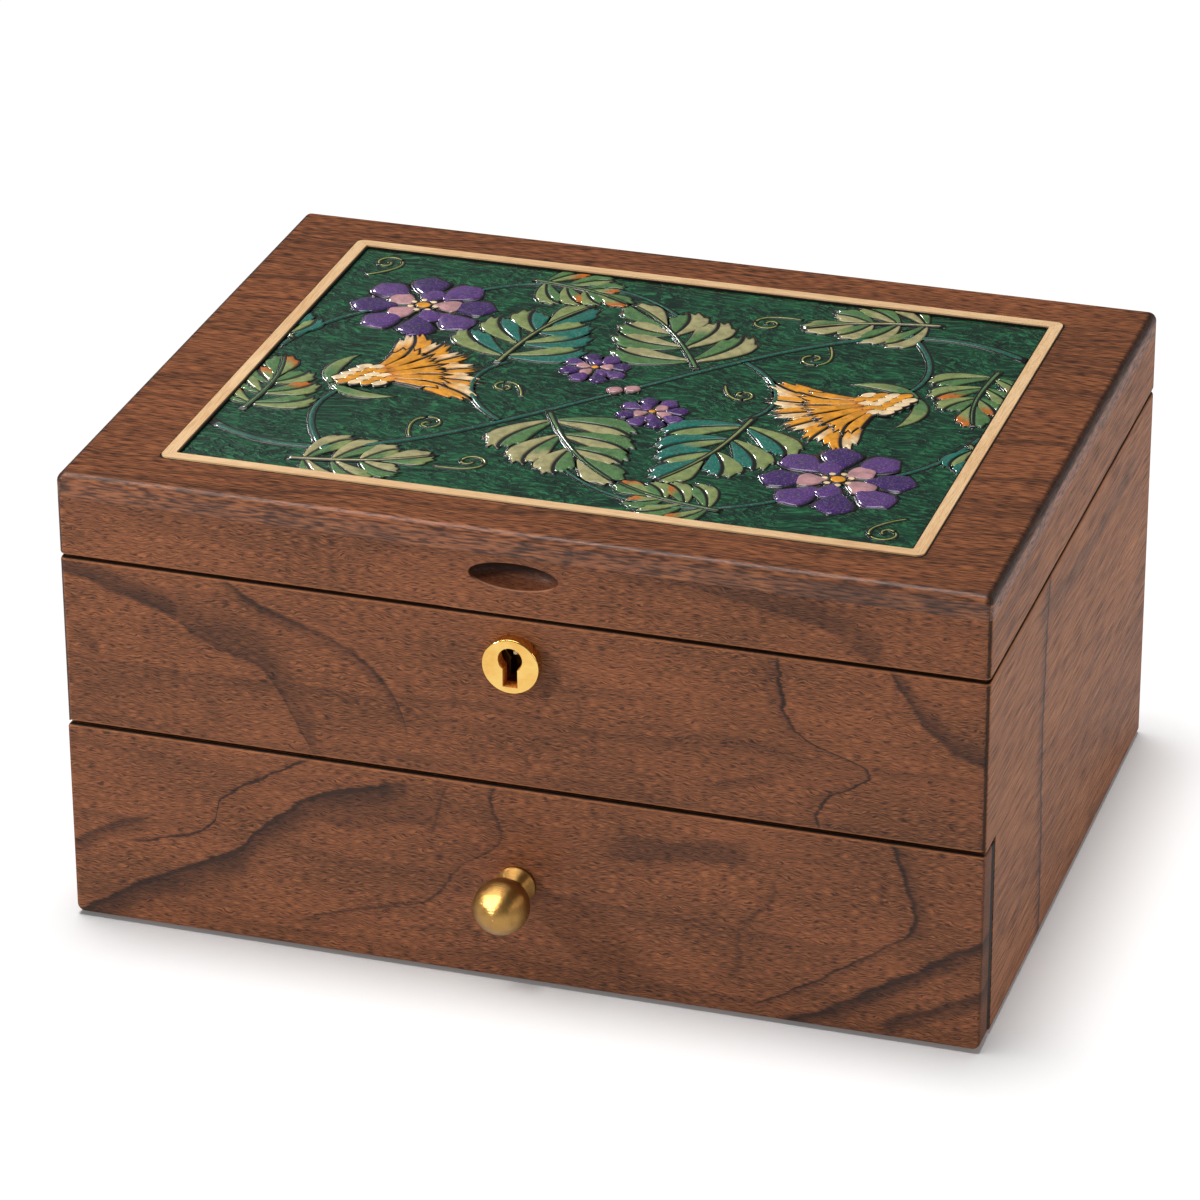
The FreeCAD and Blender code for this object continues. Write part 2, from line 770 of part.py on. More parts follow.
def make_front_panel():
    name = "carcase_front_panel"
    blank = mitred_board(name + "_blank", "front", half_width, half_depth, s["wall"],
                         (panel_bottom, body_top), s["corner_radius"])
    for height in (panel_bottom, body_top):
        ease(blank, s["edge_radius"],
             outer_edge_test("front", half_width, half_depth, s["corner_radius"], height))
    reach = inner_x + s["groove_depth"]
    cutters = [
        block(name + "_groove", (-reach, reach),
              (-inner_y - s["groove_depth"], -inner_y + PAST), (dust_bottom, dust_top)),
        block("lock_mortise", case_x, (case_front_y, lock_back_y + PAST),
              (case_z[0], body_top + PAST)),
        block("lock_plate_recess", lock_plate_x, (plate_y[0], lock_back_y + PAST),
              (lock_plate_z[0], body_top + PAST)),
        block("selvedge_recess", lock_plate_x, (selvedge_y[0], lock_back_y + PAST),
              (selvedge_z[0], body_top + PAST)),
        rod("escutcheon_hole", (0, front_y - PAST, escutcheon_z), "back",
            s["escutcheon_spigot_radius"], s["wall"] - s["lock_case_depth"] + PAST * 2),
    ]
    finish(cut(name, blank, *cutters, *lock_holes), name)


def make_back_panel():
    name = "carcase_back_panel"
    blank = mitred_board(name + "_blank", "back", half_width, half_depth, s["wall"],
                         (wood_bottom, body_top), s["corner_radius"])
    for height in (wood_bottom, body_top):
        ease(blank, s["edge_radius"],
             outer_edge_test("back", half_width, half_depth, s["corner_radius"], height))
    reach = inner_x + s["groove_depth"]
    groove = block(name + "_groove", (-reach, reach),
                   (inner_y - PAST, inner_y + s["groove_depth"]), (dust_bottom, dust_top))
    mortises = [hinge.mortise("lower", f"{name}_mortise_{hinge.side}") for hinge in hinges]
    finish(cut(name, blank, groove, *mortises, *lower_holes), name)


def make_boards():
    finish(block("carcase_bottom", (-inner_x, inner_x), (notch_back_y, inner_y),
                 (wood_bottom, case_floor)), "carcase_bottom")
    reach_x = inner_x + s["groove_depth"]
    reach_y = inner_y + s["groove_depth"]
    finish(block("dust_board", (-reach_x, reach_x), (-reach_y, reach_y),
                 (dust_bottom, dust_top)), "dust_board")
    inset = s["felt_inset_distance"]
    finish(rounded_plate("base_felt", (-half_width + inset, half_width - inset),
                         (notch_back_y + inset / 2, back_y - inset),
                         (as_size(0), wood_bottom), inset), "base_felt")


make_sides()
make_front_panel()
make_back_panel()
make_boards()


# Lining, dividers and ring rolls of the upper compartment

lining_x = inner_x - s["lining_thickness"]
lining_y = inner_y - s["lining_thickness"]
pad_top = dust_top + s["pad_thickness"]


def make_lining():
    z = (dust_top, lip_top)
    spans = {
        "front": ((-inner_x, inner_x), (-inner_y, -lining_y)),
        "back": ((-inner_x, inner_x), (lining_y, inner_y)),
        "left": ((-inner_x, -lining_x), (-lining_y, lining_y)),
        "right": ((lining_x, inner_x), (-lining_y, lining_y)),
    }
    for side, (x, y) in spans.items():
        name = f"compartment_lining_{side}"
        finish(block(name, x, y, z), name)
    finish(block("compartment_floor_pad", (-lining_x, lining_x), (-lining_y, lining_y),
                 (dust_top, pad_top)), "compartment_floor_pad")


def make_dividers():
    """One divider across, one in front of it beside the ring rolls, two behind it."""
    thick = s["divider_thickness"]
    z = (pad_top, pad_top + s["divider_height"])
    cross_y = (lining_y - s["rear_tray_depth"] - thick, lining_y - s["rear_tray_depth"])
    finish(block("compartment_divider_cross", (-lining_x, lining_x), cross_y, z),
           "compartment_divider_cross")
    ring_end = -lining_x + s["ring_section_width"]
    finish(block("compartment_divider_ring", (ring_end, ring_end + thick),
                 (-lining_y, cross_y[0]), z), "compartment_divider_ring")
    cell = (lining_x * 2 - thick * 2) / 3
    for number in (1, 2):
        low = -lining_x + cell * number + thick * (number - 1)
        name = f"compartment_divider_rear_{number}"
        finish(block(name, (low, low + thick), (cross_y[1], lining_y), z), name)
    return ring_end, cross_y[0]


def make_ring_rolls(section_x, section_y):
    """Soft bars side by side, flat below; rings are held in the grooves between them."""
    count = s["ring_roll_count"]
    gap = s["ring_roll_gap"]
    pitch = (section_y + lining_y) / count
    radius = (pitch - gap) / 2
    x = (-lining_x + gap, section_x - gap)
    axis_z = pad_top + s["ring_roll_height"] - radius
    for number in range(1, SIZES["ring_roll_count"] + 1):
        name = f"ring_roll_{number}"
        y = -lining_y + pitch * (number - 0.5)
        bar = rod(name + "_bar", (x[0], y, axis_z), "right", radius, x[1] - x[0])
        room = block(name + "_room", (x[0] - PAST, x[1] + PAST), (y - radius - PAST, y + radius + PAST),
                     (pad_top, axis_z + radius + PAST))
        finish(common(name, bar, room), name)


make_lining()
ring_section_end, ring_section_back = make_dividers()
make_ring_rolls(ring_section_end, ring_section_back)


# Drawer, with its front overlapping the case's walls

side_outer_x = inner_x - s["drawer_side_clearance"]
side_inner_x = side_outer_x - s["drawer_side_thickness"]
drawer_low = case_floor + s["drawer_run_clearance"]
drawer_rear_y = inner_y - s["drawer_rear_clearance"]
drawer_back_y = drawer_rear_y - s["drawer_side_thickness"]
drawer_floor = (drawer_low + s["drawer_bottom_clearance"],
                drawer_low + s["drawer_bottom_clearance"] + s["drawer_bottom_thickness"])
drawer_pad_top = drawer_floor[1] + s["pad_thickness"]
housed_y = face_back_y - s["drawer_housing_depth"]
knob_z = s["knob_height"]


def make_drawer_front():
    """A board with round corners seen from the front, and its front edges eased."""
    low, high = s["drawer_face_lower_corner_radius"], s["drawer_face_upper_corner_radius"]
    corners = [
        (-half_width + low, wood_bottom), (half_width - low, wood_bottom, low),
        (half_width, wood_bottom + low), (half_width, drawer_top - high, high),
        (half_width - high, drawer_top), (-half_width + high, drawer_top, high),
        (-half_width, drawer_top - high), (-half_width, wood_bottom + low, low),
    ]
    blank = padded("drawer_front_blank", "XZ_Plane", -face_back_y, -front_y, corners)
    ease(blank, s["drawer_face_edge_radius"], lambda point: near(point.y, front_y))
    cutters = [
        block(f"drawer_housing_{number}", on_side(sign, side_inner_x, side_outer_x),
              (housed_y, face_back_y + PAST), (drawer_low, drawer_low + s["drawer_side_height"]))
        for number, sign in enumerate((-1, 1), 1)
    ]
    reach = side_inner_x + s["groove_depth"]
    cutters.append(block("drawer_front_groove", (-reach, reach),
                         (face_back_y - s["groove_depth"], face_back_y + PAST), drawer_floor))
    cutters.append(rod("knob_screw_hole", (0, front_y - PAST, knob_z), "back",
                       s["knob_screw_radius"], s["drawer_face_thickness"] + PAST * 2))
    cutters.append(rod("knob_screw_recess",
                       (0, face_back_y - s["knob_screw_head_height"], knob_z), "back",
                       s["knob_screw_head_radius"], s["knob_screw_head_height"] + PAST))
    finish(cut("drawer_front", blank, *cutters), "drawer_front")


def make_drawer_box():
    reach = side_inner_x + s["groove_depth"]
    low_y = face_back_y - s["groove_depth"]
    for side, sign in (("left", -1), ("right", 1)):
        x = on_side(sign, side_inner_x, side_outer_x)
        name = f"drawer_{side}_side"
        blank = block(name + "_blank", x, (housed_y, drawer_rear_y),
                      (drawer_low, drawer_low + s["drawer_side_height"]))
        groove = block(name + "_groove", (-reach, reach), (low_y, drawer_rear_y + PAST),
                       drawer_floor)
        finish(cut(name, blank, groove), name)
    finish(block("drawer_back", (-side_inner_x, side_inner_x), (drawer_back_y, drawer_rear_y),
                 (drawer_floor[1], drawer_low + s["drawer_back_height"])), "drawer_back")
    finish(block("drawer_bottom", (-reach, reach), (low_y, drawer_rear_y), drawer_floor),
           "drawer_bottom")
    finish(block("drawer_floor_pad", (-side_inner_x, side_inner_x),
                 (face_back_y, drawer_back_y), (drawer_floor[1], drawer_pad_top)),
           "drawer_floor_pad")


def make_drawer_dividers():
    thick = s["divider_thickness"]
    z = (drawer_pad_top, drawer_pad_top + s["drawer_divider_height"])
    long_y = (face_back_y + s["drawer_front_tray_depth"],
              face_back_y + s["drawer_front_tray_depth"] + thick)
    finish(block("drawer_divider_long", (-side_inner_x, side_inner_x), long_y, z),
           "drawer_divider_long")
    cell = (side_inner_x * 2 - thick * 2) / 3
    for number in (1, 2):
        low = -side_inner_x + cell * number + thick * (number - 1)
        name = f"drawer_divider_cross_{number}"
        finish(block(name, (low, low + thick), (long_y[1], drawer_back_y), z), name)


def make_drawer_stop():
    """A block under the dust board that the drawer's back meets at the end of its travel."""
    half = s["stop_width"] / 2
    rear = drawer_back_y - s["drawer_travel"] - s["drawer_run_clearance"]
    finish(block("drawer_stop", (-half, half), (rear - s["stop_length"], rear),
                 (dust_bottom - s["stop_height"], dust_bottom)), "drawer_stop")


def make_knob():
    ball, neck = s["knob_ball_radius"], s["knob_neck_radius"]
    reach = s["knob_ball_distance"]
    meets_ball = reach - root(ball * ball - neck * neck)
    profile = [
        (0, 0), (s["knob_collar_radius"], 0),
        (s["knob_collar_radius"], s["knob_collar_rim_thickness"]), (neck, s["knob_neck_distance"]),
        (neck, meets_ball, ball), (0, reach + ball),
    ]
    blank = turned("drawer_knob_blank", "front", (0, front_y, knob_z), profile)
    hole = rod("drawer_knob_hole", (0, front_y + PAST, knob_z), "front",
               s["knob_screw_radius"], s["knob_screw_grip_length"] + PAST)
    finish(cut("drawer_knob", blank, hole), "drawer_knob")
    shank, head = s["knob_screw_radius"], s["knob_screw_head_radius"]
    length = s["drawer_face_thickness"] + s["knob_screw_grip_length"]
    under_head = s["knob_screw_head_height"]
    screw = [(0, 0), (head, 0), (head, under_head), (shank, under_head), (shank, length),
             (0, length)]
    finish(turned("knob_screw", "front", (0, face_back_y, knob_z), screw), "knob_screw")


make_drawer_front()
make_drawer_box()
make_drawer_dividers()
make_drawer_stop()
make_knob()


# Lid

def make_rim():
    """Four mitred boards under the lid's top board, a little thinner than the walls."""
    width = s["wall"] - s["lip_clearance"]
    for side in SIDES:
        name = f"lid_rim_{side}"
        blank = mitred_board(name + "_blank", side, half_width, half_depth, width,
                             (lid_bottom, lid_board_bottom), s["corner_radius"])
        ease(blank, s["edge_radius"],
             outer_edge_test(side, half_width, half_depth, s["corner_radius"], lid_bottom))
        cutters = []
        if side == "front":
            cutters = [make_scoop()] + strike_room
        if side == "back":
            cutters = [hinge.mortise("upper", f"{name}_mortise_{hinge.side}")
                       for hinge in hinges] + upper_holes
        finish(cut(name, blank, *cutters) if cutters else blank, name)


def make_scoop():
    """A finger scoop, half an ellipsoid, in the middle of the lid's front."""
    scoop = doc.addObject("Part::Ellipsoid", "finger_scoop")
    bind(scoop, "Radius1", s["scoop_height"] / 2)
    bind(scoop, "Radius2", s["scoop_width"] / 2)
    bind(scoop, "Radius3", s["scoop_depth"])
    return place(scoop, 0, front_y, s["box_height"] - s["scoop_distance_from_top"])


inlay_x = half_width - s["inlay_margin_x"]
inlay_y = half_depth - s["inlay_margin_y"]
inlay_z = (s["box_height"] - s["inlay_depth"], s["box_height"])


def inset_plate(name, inset, z):
    """A plate inside the inlay's outline, its corners round about the same centres."""
    radius = s["inlay_radius"] - inset / 2
    return rounded_plate(name, (-inlay_x + inset, inlay_x - inset),
                         (-inlay_y + inset, inlay_y - inset), z, radius)


def ring(name, outer, inner, z):
    hole_z = (z[0] - PAST, z[1] + PAST)
    return cut(name, inset_plate(name + "_outside", outer, z),
               inset_plate(name + "_inside", inner, hole_z))


def make_top():
    name = "lid_top_board"
    blank = rounded_plate(name + "_blank", (-half_width, half_width), (front_y, back_y),
                          (lid_board_bottom, s["box_height"]), s["corner_radius"])
    ease(blank, s["lid_edge_radius"], lambda point: near(point.z, s["box_height"]))
    room = inset_plate("inlay_room", as_size(0), (inlay_z[0], inlay_z[1] + PAST))
    finish(cut(name, blank, room), name)
    first = s["outer_line_width"]
    second = first + s["banding_width"]
    third = second + s["inner_line_width"]
    banding_z = (inlay_z[0], s["box_height"] + s["banding_height_over_lid"])
    panel_top = banding_z[1] - s["panel_depth_under_banding"]
    lines = (ring("inlay_line_outer", as_size(0), first, inlay_z),
             ring("inlay_line_inner", second, third, inlay_z))
    finish(group("inlay_lines", *lines), "inlay_lines")
    finish(ring("inlay_banding", first, second, banding_z), "inlay_banding")
    finish(inset_plate("decorative_panel", third, (inlay_z[0], panel_top)),
           "decorative_panel")


def make_mirror():
    lining_top = lid_board_bottom
    lining_low = lining_top - s["lid_lining_thickness"]
    reach_x = half_width - s["wall"] + s["lip_clearance"]
    reach_y = half_depth - s["wall"] + s["lip_clearance"]
    finish(block("lid_lining", (-reach_x, reach_x), (-reach_y, reach_y),
                 (lining_low, lining_top)), "lid_lining")
    border = s["mirror_frame_width"] - s["mirror_rebate_width"]
    half_x = reach_x - s["mirror_frame_clearance"] - border
    half_y = reach_y - s["mirror_frame_clearance"] - border
    glass_z = (lining_low - s["mirror_thickness"], lining_low)
    finish(block("lid_mirror", (-half_x, half_x), (-half_y, half_y), glass_z), "lid_mirror")
    frame_z = (lining_low - s["mirror_frame_thickness"], lining_low)
    beads = []
    for side in SIDES:
        board = mitred_board(f"mirror_bead_{side}", side, half_x + border, half_y + border,
                             s["mirror_frame_width"], frame_z, s["corner_radius"])
        room = block(f"mirror_rebate_{side}", (-half_x, half_x), (-half_y, half_y),
                     (glass_z[0], glass_z[1] + PAST))
        beads.append(cut(f"mirror_bead_rebated_{side}", board, room))
    finish(group("mirror_frame", *beads), "mirror_frame")


make_rim()
make_top()
make_mirror()


# Every object has to have been made, and every sub-part has to be a sound solid.

doc.recompute()
broken = [item.Label for item in doc.Objects
          if "Invalid" in item.State or "Error" in item.State]
if broken:
    raise RuntimeError(f"objects that could not be made: {broken}")
for piece in pieces:
    shape = piece.Shape
    if shape.isNull() or not shape.isValid() or shape.Volume <= 0:
        raise RuntimeError(f"{piece.Label} is not a sound solid")

os.makedirs("parts", exist_ok=True)
for piece in pieces:
    piece.Shape.exportStep(f"parts/{piece.Label}.step")
    print(f"{piece.Label}: {len(piece.Shape.Solids)} solid, {piece.Shape.Volume:.1f} mm3")
print(f"{len(pieces)} sub-parts")
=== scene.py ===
import json
import math
import random

import bmesh
import bpy
import mathutils
from mathutils import Matrix, Vector


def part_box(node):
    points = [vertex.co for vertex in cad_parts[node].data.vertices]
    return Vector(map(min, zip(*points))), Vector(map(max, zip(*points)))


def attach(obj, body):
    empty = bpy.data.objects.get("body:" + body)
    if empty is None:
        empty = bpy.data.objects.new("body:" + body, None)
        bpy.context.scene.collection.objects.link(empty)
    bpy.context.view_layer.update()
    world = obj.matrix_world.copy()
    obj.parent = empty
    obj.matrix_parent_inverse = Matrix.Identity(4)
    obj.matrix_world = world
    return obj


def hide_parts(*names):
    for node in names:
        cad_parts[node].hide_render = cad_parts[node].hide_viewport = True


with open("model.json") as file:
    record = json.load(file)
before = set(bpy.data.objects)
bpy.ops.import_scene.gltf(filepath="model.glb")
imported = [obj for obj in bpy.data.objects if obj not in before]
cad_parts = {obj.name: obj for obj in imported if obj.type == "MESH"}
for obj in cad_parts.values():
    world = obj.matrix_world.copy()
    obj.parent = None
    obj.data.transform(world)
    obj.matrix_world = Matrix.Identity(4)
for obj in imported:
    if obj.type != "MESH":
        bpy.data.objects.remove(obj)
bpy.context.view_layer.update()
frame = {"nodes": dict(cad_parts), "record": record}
nodes = frame["nodes"]
bodyOf = {node: body for body, members in frame["record"]["behaviour"]["bodies"].items() for node in members}
slotOf = {part["node"]: part["material_slot"] for part in frame["record"]["subparts"]}
mm = 0.001


# Shader arithmetic: a Wire is an output socket that Python operators work on

def operation(name):
    def method(self, *others):
        return self.paint.node("Math", {"operation": name}, dict(enumerate((self, *others))))
    return method


class Wire:
    def __init__(self, paint, socket):
        self.paint = paint
        self.socket = socket

    __add__ = __radd__ = operation("ADD")
    __sub__ = operation("SUBTRACT")
    __mul__ = __rmul__ = operation("MULTIPLY")
    __truediv__ = operation("DIVIDE")
    __abs__ = operation("ABSOLUTE")
    atLeast = operation("MAXIMUM")
    atMost = operation("MINIMUM")
    root = operation("SQRT")

    def __rsub__(self, other):
        return self.paint.node("Math", {"operation": "SUBTRACT"}, {0: other, 1: self})

    def __neg__(self):
        return self * -1

    def step(self, low, high):
        # 0 below low, 1 above high, smooth between them; high below low turns it round
        return self.paint.node("MapRange", {"interpolation_type": "SMOOTHSTEP"},
                               {"Value": self, "From Min": low, "From Max": high})


class Paint:
    # one material: its nodes, and the colour that it has so far
    def __init__(self, name, colour=None):
        self.material = bpy.data.materials.new(name)
        self.material.use_nodes = True
        self.tree = self.material.node_tree
        self.tree.nodes.clear()
        self.colour = colour
        place = self.node("TexCoord", {}, {}, "Object")
        self.place = self.node("VectorMath", {"operation": "SCALE"}, {0: place, "Scale": 1000})

    def node(self, kind, settings, feeds, out=0):
        made = self.tree.nodes.new("ShaderNode" + kind)
        for key, value in settings.items():
            setattr(made, key, value)
        for key, value in feeds.items():
            if isinstance(value, Wire):
                self.tree.links.new(value.socket, made.inputs[key])
            else:
                made.inputs[key].default_value = tone(value) if isinstance(value, str) else value
        return Wire(self, made.outputs[out]) if made.outputs else made

    def axes(self, vector=None):
        split = self.node("SeparateXYZ", {}, {0: vector or self.place}).socket.node
        return [Wire(self, socket) for socket in split.outputs]

    def vector(self, x, y, z):
        return self.node("CombineXYZ", {}, {0: x, 1: y, 2: z})

    def noise(self, scale, detail=2.0, rough=0.5, distortion=0.0, at=None):
        # over the object's own millimetres, or over the x, y and z that it is given
        place = self.vector(*at) if at else self.place
        return self.node("TexNoise", {}, {"Vector": place, "Scale": scale, "Detail": detail,
                                          "Roughness": rough, "Distortion": distortion})

    def ramp(self, value, stops, interpolation="LINEAR"):
        made = self.node("ValToRGB", {}, {0: value})
        ramp = made.socket.node.color_ramp
        ramp.interpolation = interpolation
        ramp.elements[0].position, ramp.elements[1].position = stops[0][0], stops[-1][0]
        for position, colour in stops[1:-1]:
            ramp.elements.new(position)
        for element, (position, colour) in zip(ramp.elements, stops):
            element.color = tone(colour)
        return made

    def curve(self, value, points):
        # a drawn curve from 0 to 1 in both directions
        made = self.node("FloatCurve", {}, {"Value": value})
        mapping = made.socket.node.mapping
        line = mapping.curves[0].points
        line[0].location, line[-1].location = points[0], points[-1]
        for point in points[1:-1]:
            line.new(*point)
        mapping.update()
        return made

    def bump(self, height, strength, distance):
        return self.node("Bump", {}, {"Height": height, "Strength": strength, "Distance": distance})

    def cover(self, share, tint):
        # a share of another colour over the colour so far
        self.colour = self.node("Mix", {"data_type": "RGBA"}, {0: share, 6: self.colour, 7: tint}, 2)

    def finish(self, rough, **feeds):
        names = {"Base Color": self.colour, "Roughness": rough}
        names.update((key.replace("_", " "), value) for key, value in feeds.items())
        self.node("OutputMaterial", {}, {"Surface": self.node("BsdfPrincipled", {}, names)})
        return self.material


def tone(colour):
    # "#rrggbb", or a number for a grey, as the linear colour that Blender works in
    if not isinstance(colour, str):
        return colour, colour, colour, 1
    parts = [int(colour[i:i + 2], 16) / 255 for i in (1, 3, 5)]
    linear = [c / 12.92 if c <= 0.04045 else ((c + 0.055) / 1.055) ** 2.4 for c in parts]
    return (*linear, 1)


# Shapes

def asObject(shape, name):
    mesh = bpy.data.meshes.new(name)
    shape.to_mesh(mesh)
    shape.free()
    made = bpy.data.objects.new(name, mesh)
    bpy.context.scene.collection.objects.link(made)
    return made


def standIn(shape, name, node, material):
    # a shape that takes a CAD node's place
    made = asObject(shape, name)
    for face in made.data.polygons:
        face.use_smooth = True
    made.data.set_sharp_from_angle(angle=math.radians(50))
    made.data.materials.append(material)
    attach(made, bodyOf[node])
    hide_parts(node)
    return made


def wear(node, material):
    # a CAD node keeps its shape and takes a material
    slots = nodes[node].data.materials
    slots.clear()
    slots.append(material)


def corners(node):
    return [Vector(corner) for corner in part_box(node)]


def nodeShape(node):
    # a CAD node's mesh without its doubled corners
    shape = bmesh.new()
    shape.from_mesh(nodes[node].data)
    bmesh.ops.remove_doubles(shape, verts=shape.verts, dist=0.01 * mm)
    return shape


def modified(thing):
    # an object's mesh as its modifiers leave it
    bpy.context.view_layer.update()
    shape = bmesh.new()
    shape.from_mesh(thing.evaluated_get(bpy.context.evaluated_depsgraph_get()).data)
    return shape


def block(size, middle, unit=1):
    shape = bmesh.new()
    bmesh.ops.create_cube(shape, size=unit)
    bmesh.ops.scale(shape, verts=shape.verts, vec=size)
    bmesh.ops.translate(shape, verts=shape.verts, vec=middle)
    return shape


def verticesOf(geometry):
    return [part for part in geometry if isinstance(part, bmesh.types.BMVert)]


def extrudeTo(shape, height):
    # a copy of the surface, flat at a height, and walls down to it
    below = bmesh.ops.extrude_face_region(shape, geom=list(shape.faces), use_keep_orig=True)["geom"]
    for vertex in verticesOf(below):
        vertex.co.z = height


def ease(shape, radius, segments=2, where=lambda edge: True):
    # rounds the sharp edges, or those of them that a test picks
    sharp = [edge for edge in shape.edges
             if edge.is_manifold and edge.calc_face_angle() > 0.5 and where(edge)]
    bmesh.ops.bevel(shape, geom=sharp, offset=radius * mm, offset_type="OFFSET", affect="EDGES",
                    segments=segments, profile=0.5, material=-1, clamp_overlap=True)


def easedCopy(node, name, radius, material, segments=2):
    # a CAD node's shape with its sharp edges eased, standing in its place
    shape = nodeShape(node)
    bmesh.ops.dissolve_limit(shape, angle_limit=math.radians(1), verts=shape.verts, edges=shape.edges)
    ease(shape, radius, segments)
    return standIn(shape, name, node, material)


# Wood: colours, the pores' length in millimetres and how much the growth lines darken

walnutLook = dict(light="#91583a", middle="#673f2a", dark="#2a1d1a", pore="#1b110d", warm="#ad6e43",
                  endGrain="#432c20", poreLength=2.6, ringDepth=0.3)
sideLook = dict(walnutLook, light="#a3673f", middle="#7c4b2d", warm="#b87a4c", dark="#3a2620")
# the pale strip let into the lid
boxWoodLook = dict(light="#eccb9e", middle="#dbb283", dark="#b88a5a", pore="#a0744a", warm="#f4dab2",
                   endGrain="#c9a572", poreLength=6, ringDepth=0.25)
# the plain boards inside
liningWoodLook = dict(light="#b98a5f", middle="#9a6d48", dark="#66452e", pore="#4a3020", warm="#c79a68",
                      endGrain="#6e4c34", poreLength=5, ringDepth=0.4)
markLook = {
    # painted shade and highlights in the gaps, on rounded corners and ends and in the scoop, and where each
    # fades in, in millimetres
    "gap": "#040302",
    "corner": "#0b0705",
    "lidEnd": "#1a100c",
    "scoop": "#5c2c1a",
    "scoopTop": "#1a0b06",
    "scoopRim": "#c9967a",
    "lidFacing": (148.9, 149.3),
    "lidEndAside": (147.0, 148.6),
    "lidEndOver": (153.4, 154.8),
    "lidFront": (-110.4, -111.6),
    "behindDrawerFront": (-104.6, -104.2),
    "besideDrawerFront": (149.2, 149.7),
    "scoopWidth": (24, 20),
    "scoopDark": (139.4, 142.8),
    "scoopPale": (141, 139),
}
figureDepth = 1.5
poreHeight = 0.5


def lidEnds(pick):
    # the lid's ends are faced with wood that runs as it does on the sides
    return abs(pick["x"]).step(*markLook["lidFacing"]), (pick["y"], pick["z"], pick["x"])


def mitreAt(offset):
    # boards that meet in mitres: those at the left and right run the other way
    def turned(pick):
        return (abs(pick["x"]) - abs(pick["y"])).step(offset - 0.12, offset + 0.12), \
            (pick["y"], pick["x"], pick["z"])
    return turned


def ringStops(seed, low, high, step):
    # growth lines of uneven spacing over a height: each darkens slowly and ends sharply
    dice = random.Random(seed)
    place, rings = low, [(low, 0.1)]
    while place < high - step * 2 and len(rings) < 28:
        width = step * dice.uniform(0.5, 1.7)
        depth = dice.uniform(0.15, 0.85)
        rings += [(place + width * 0.72, depth * 0.45), (place + width * 0.93, depth),
                  (place + width, depth * dice.uniform(0.05, 0.3))]
        place += width
    return [((place - low) / (high - low), depth) for place, depth in rings + [(high, 0.1)]]


class Stroke:
    # A drawn line of the figure: how wide it fades to one side, how dark it and its shade are, and
    # its points in millimetres, from the middle and from the table. It runs sideways, or upwards
    # where by is 1. side turns the shade over, core is the width of the line itself, and fade is
    # the length over which it comes and goes.
    def __init__(self, wide, line, shade, *points, by=0, side=1, core=1.3, fade=(6, 6)):
        self.points = sorted((point[by], point[1 - by]) for point in points)
        total = core + wide
        self.stops = [(0, 0), (core / total, line), (min(0.95, 2.2 * core / total), shade), (1, 0)]
        self.by, self.side, self.core, self.total, self.fade = by, side, core, total, fade

    def band(self, paint, a, c, wobble, ragged):
        run, reach = (c, a) if self.by else (a, c)
        values = [value for place, value in self.points]
        low, high, base, peak = self.points[0][0], self.points[-1][0], min(values) - 1, max(values) + 1
        bend = paint.curve((run - low) / (high - low),
                           [((place - low) / (high - low), (value - base) / (peak - base))
                            for place, value in self.points])
        away = (reach + wobble * 3.4 + ragged * 1.6 - bend * (peak - base) - base) * self.side
        start, end = self.fade
        kept = run.step(low - 1, low + start) * run.step(high + 1, high - end)
        return paint.ramp((away + self.core) / self.total, self.stops, "EASE") * kept


def paintSeamShadeAndHighlight(paint, pick, d, ragged, seams, warm):
    # a painted highlight: a pale arris beside the gap; and painted shade in the gap and the first millimetres
    # inside it
    for edge, inward in seams:
        inside = (pick["z"] - edge) * inward + ragged * 0.1
        outer = abs(d).step(2.0, 1.4)
        paint.cover(inside.step(1.1, 0.7) * outer * 0.4, warm)
        paint.cover(inside.step(0.45, 0.2) * outer * 0.95, markLook["gap"])


def paintLidEndShade(paint, pick, coat):
    # painted shade: a dark, dull band along the lid's rounded ends, and a brighter coat on its front edge
    edge = abs(pick["x"]).step(*markLook["lidEndAside"]) * pick["z"].step(*markLook["lidEndOver"])
    paint.cover(edge * 0.8, markLook["lidEnd"])
    coat = pick["y"].step(*markLook["lidFront"]) * 0.35 + coat
    return coat - edge * coat


def paintScoopShadeAndHighlight(paint, pick, d):
    # painted shade in the finger scoop, deepest under its upper rim, and a painted highlight along its lower
    # rim
    near = abs(pick["x"]).step(*markLook["scoopWidth"])
    depth = abs(d).step(0.2, 1.2) * near
    paint.cover(depth * 0.4, markLook["scoop"])
    paint.cover(depth * pick["z"].step(*markLook["scoopDark"]) * 0.85, markLook["scoopTop"])
    rim = abs(d).step(0.1, 0.3) * abs(d).step(1.3, 0.7) * near * pick["z"].step(*markLook["scoopPale"])
    paint.cover(rim * 0.7, markLook["scoopRim"])


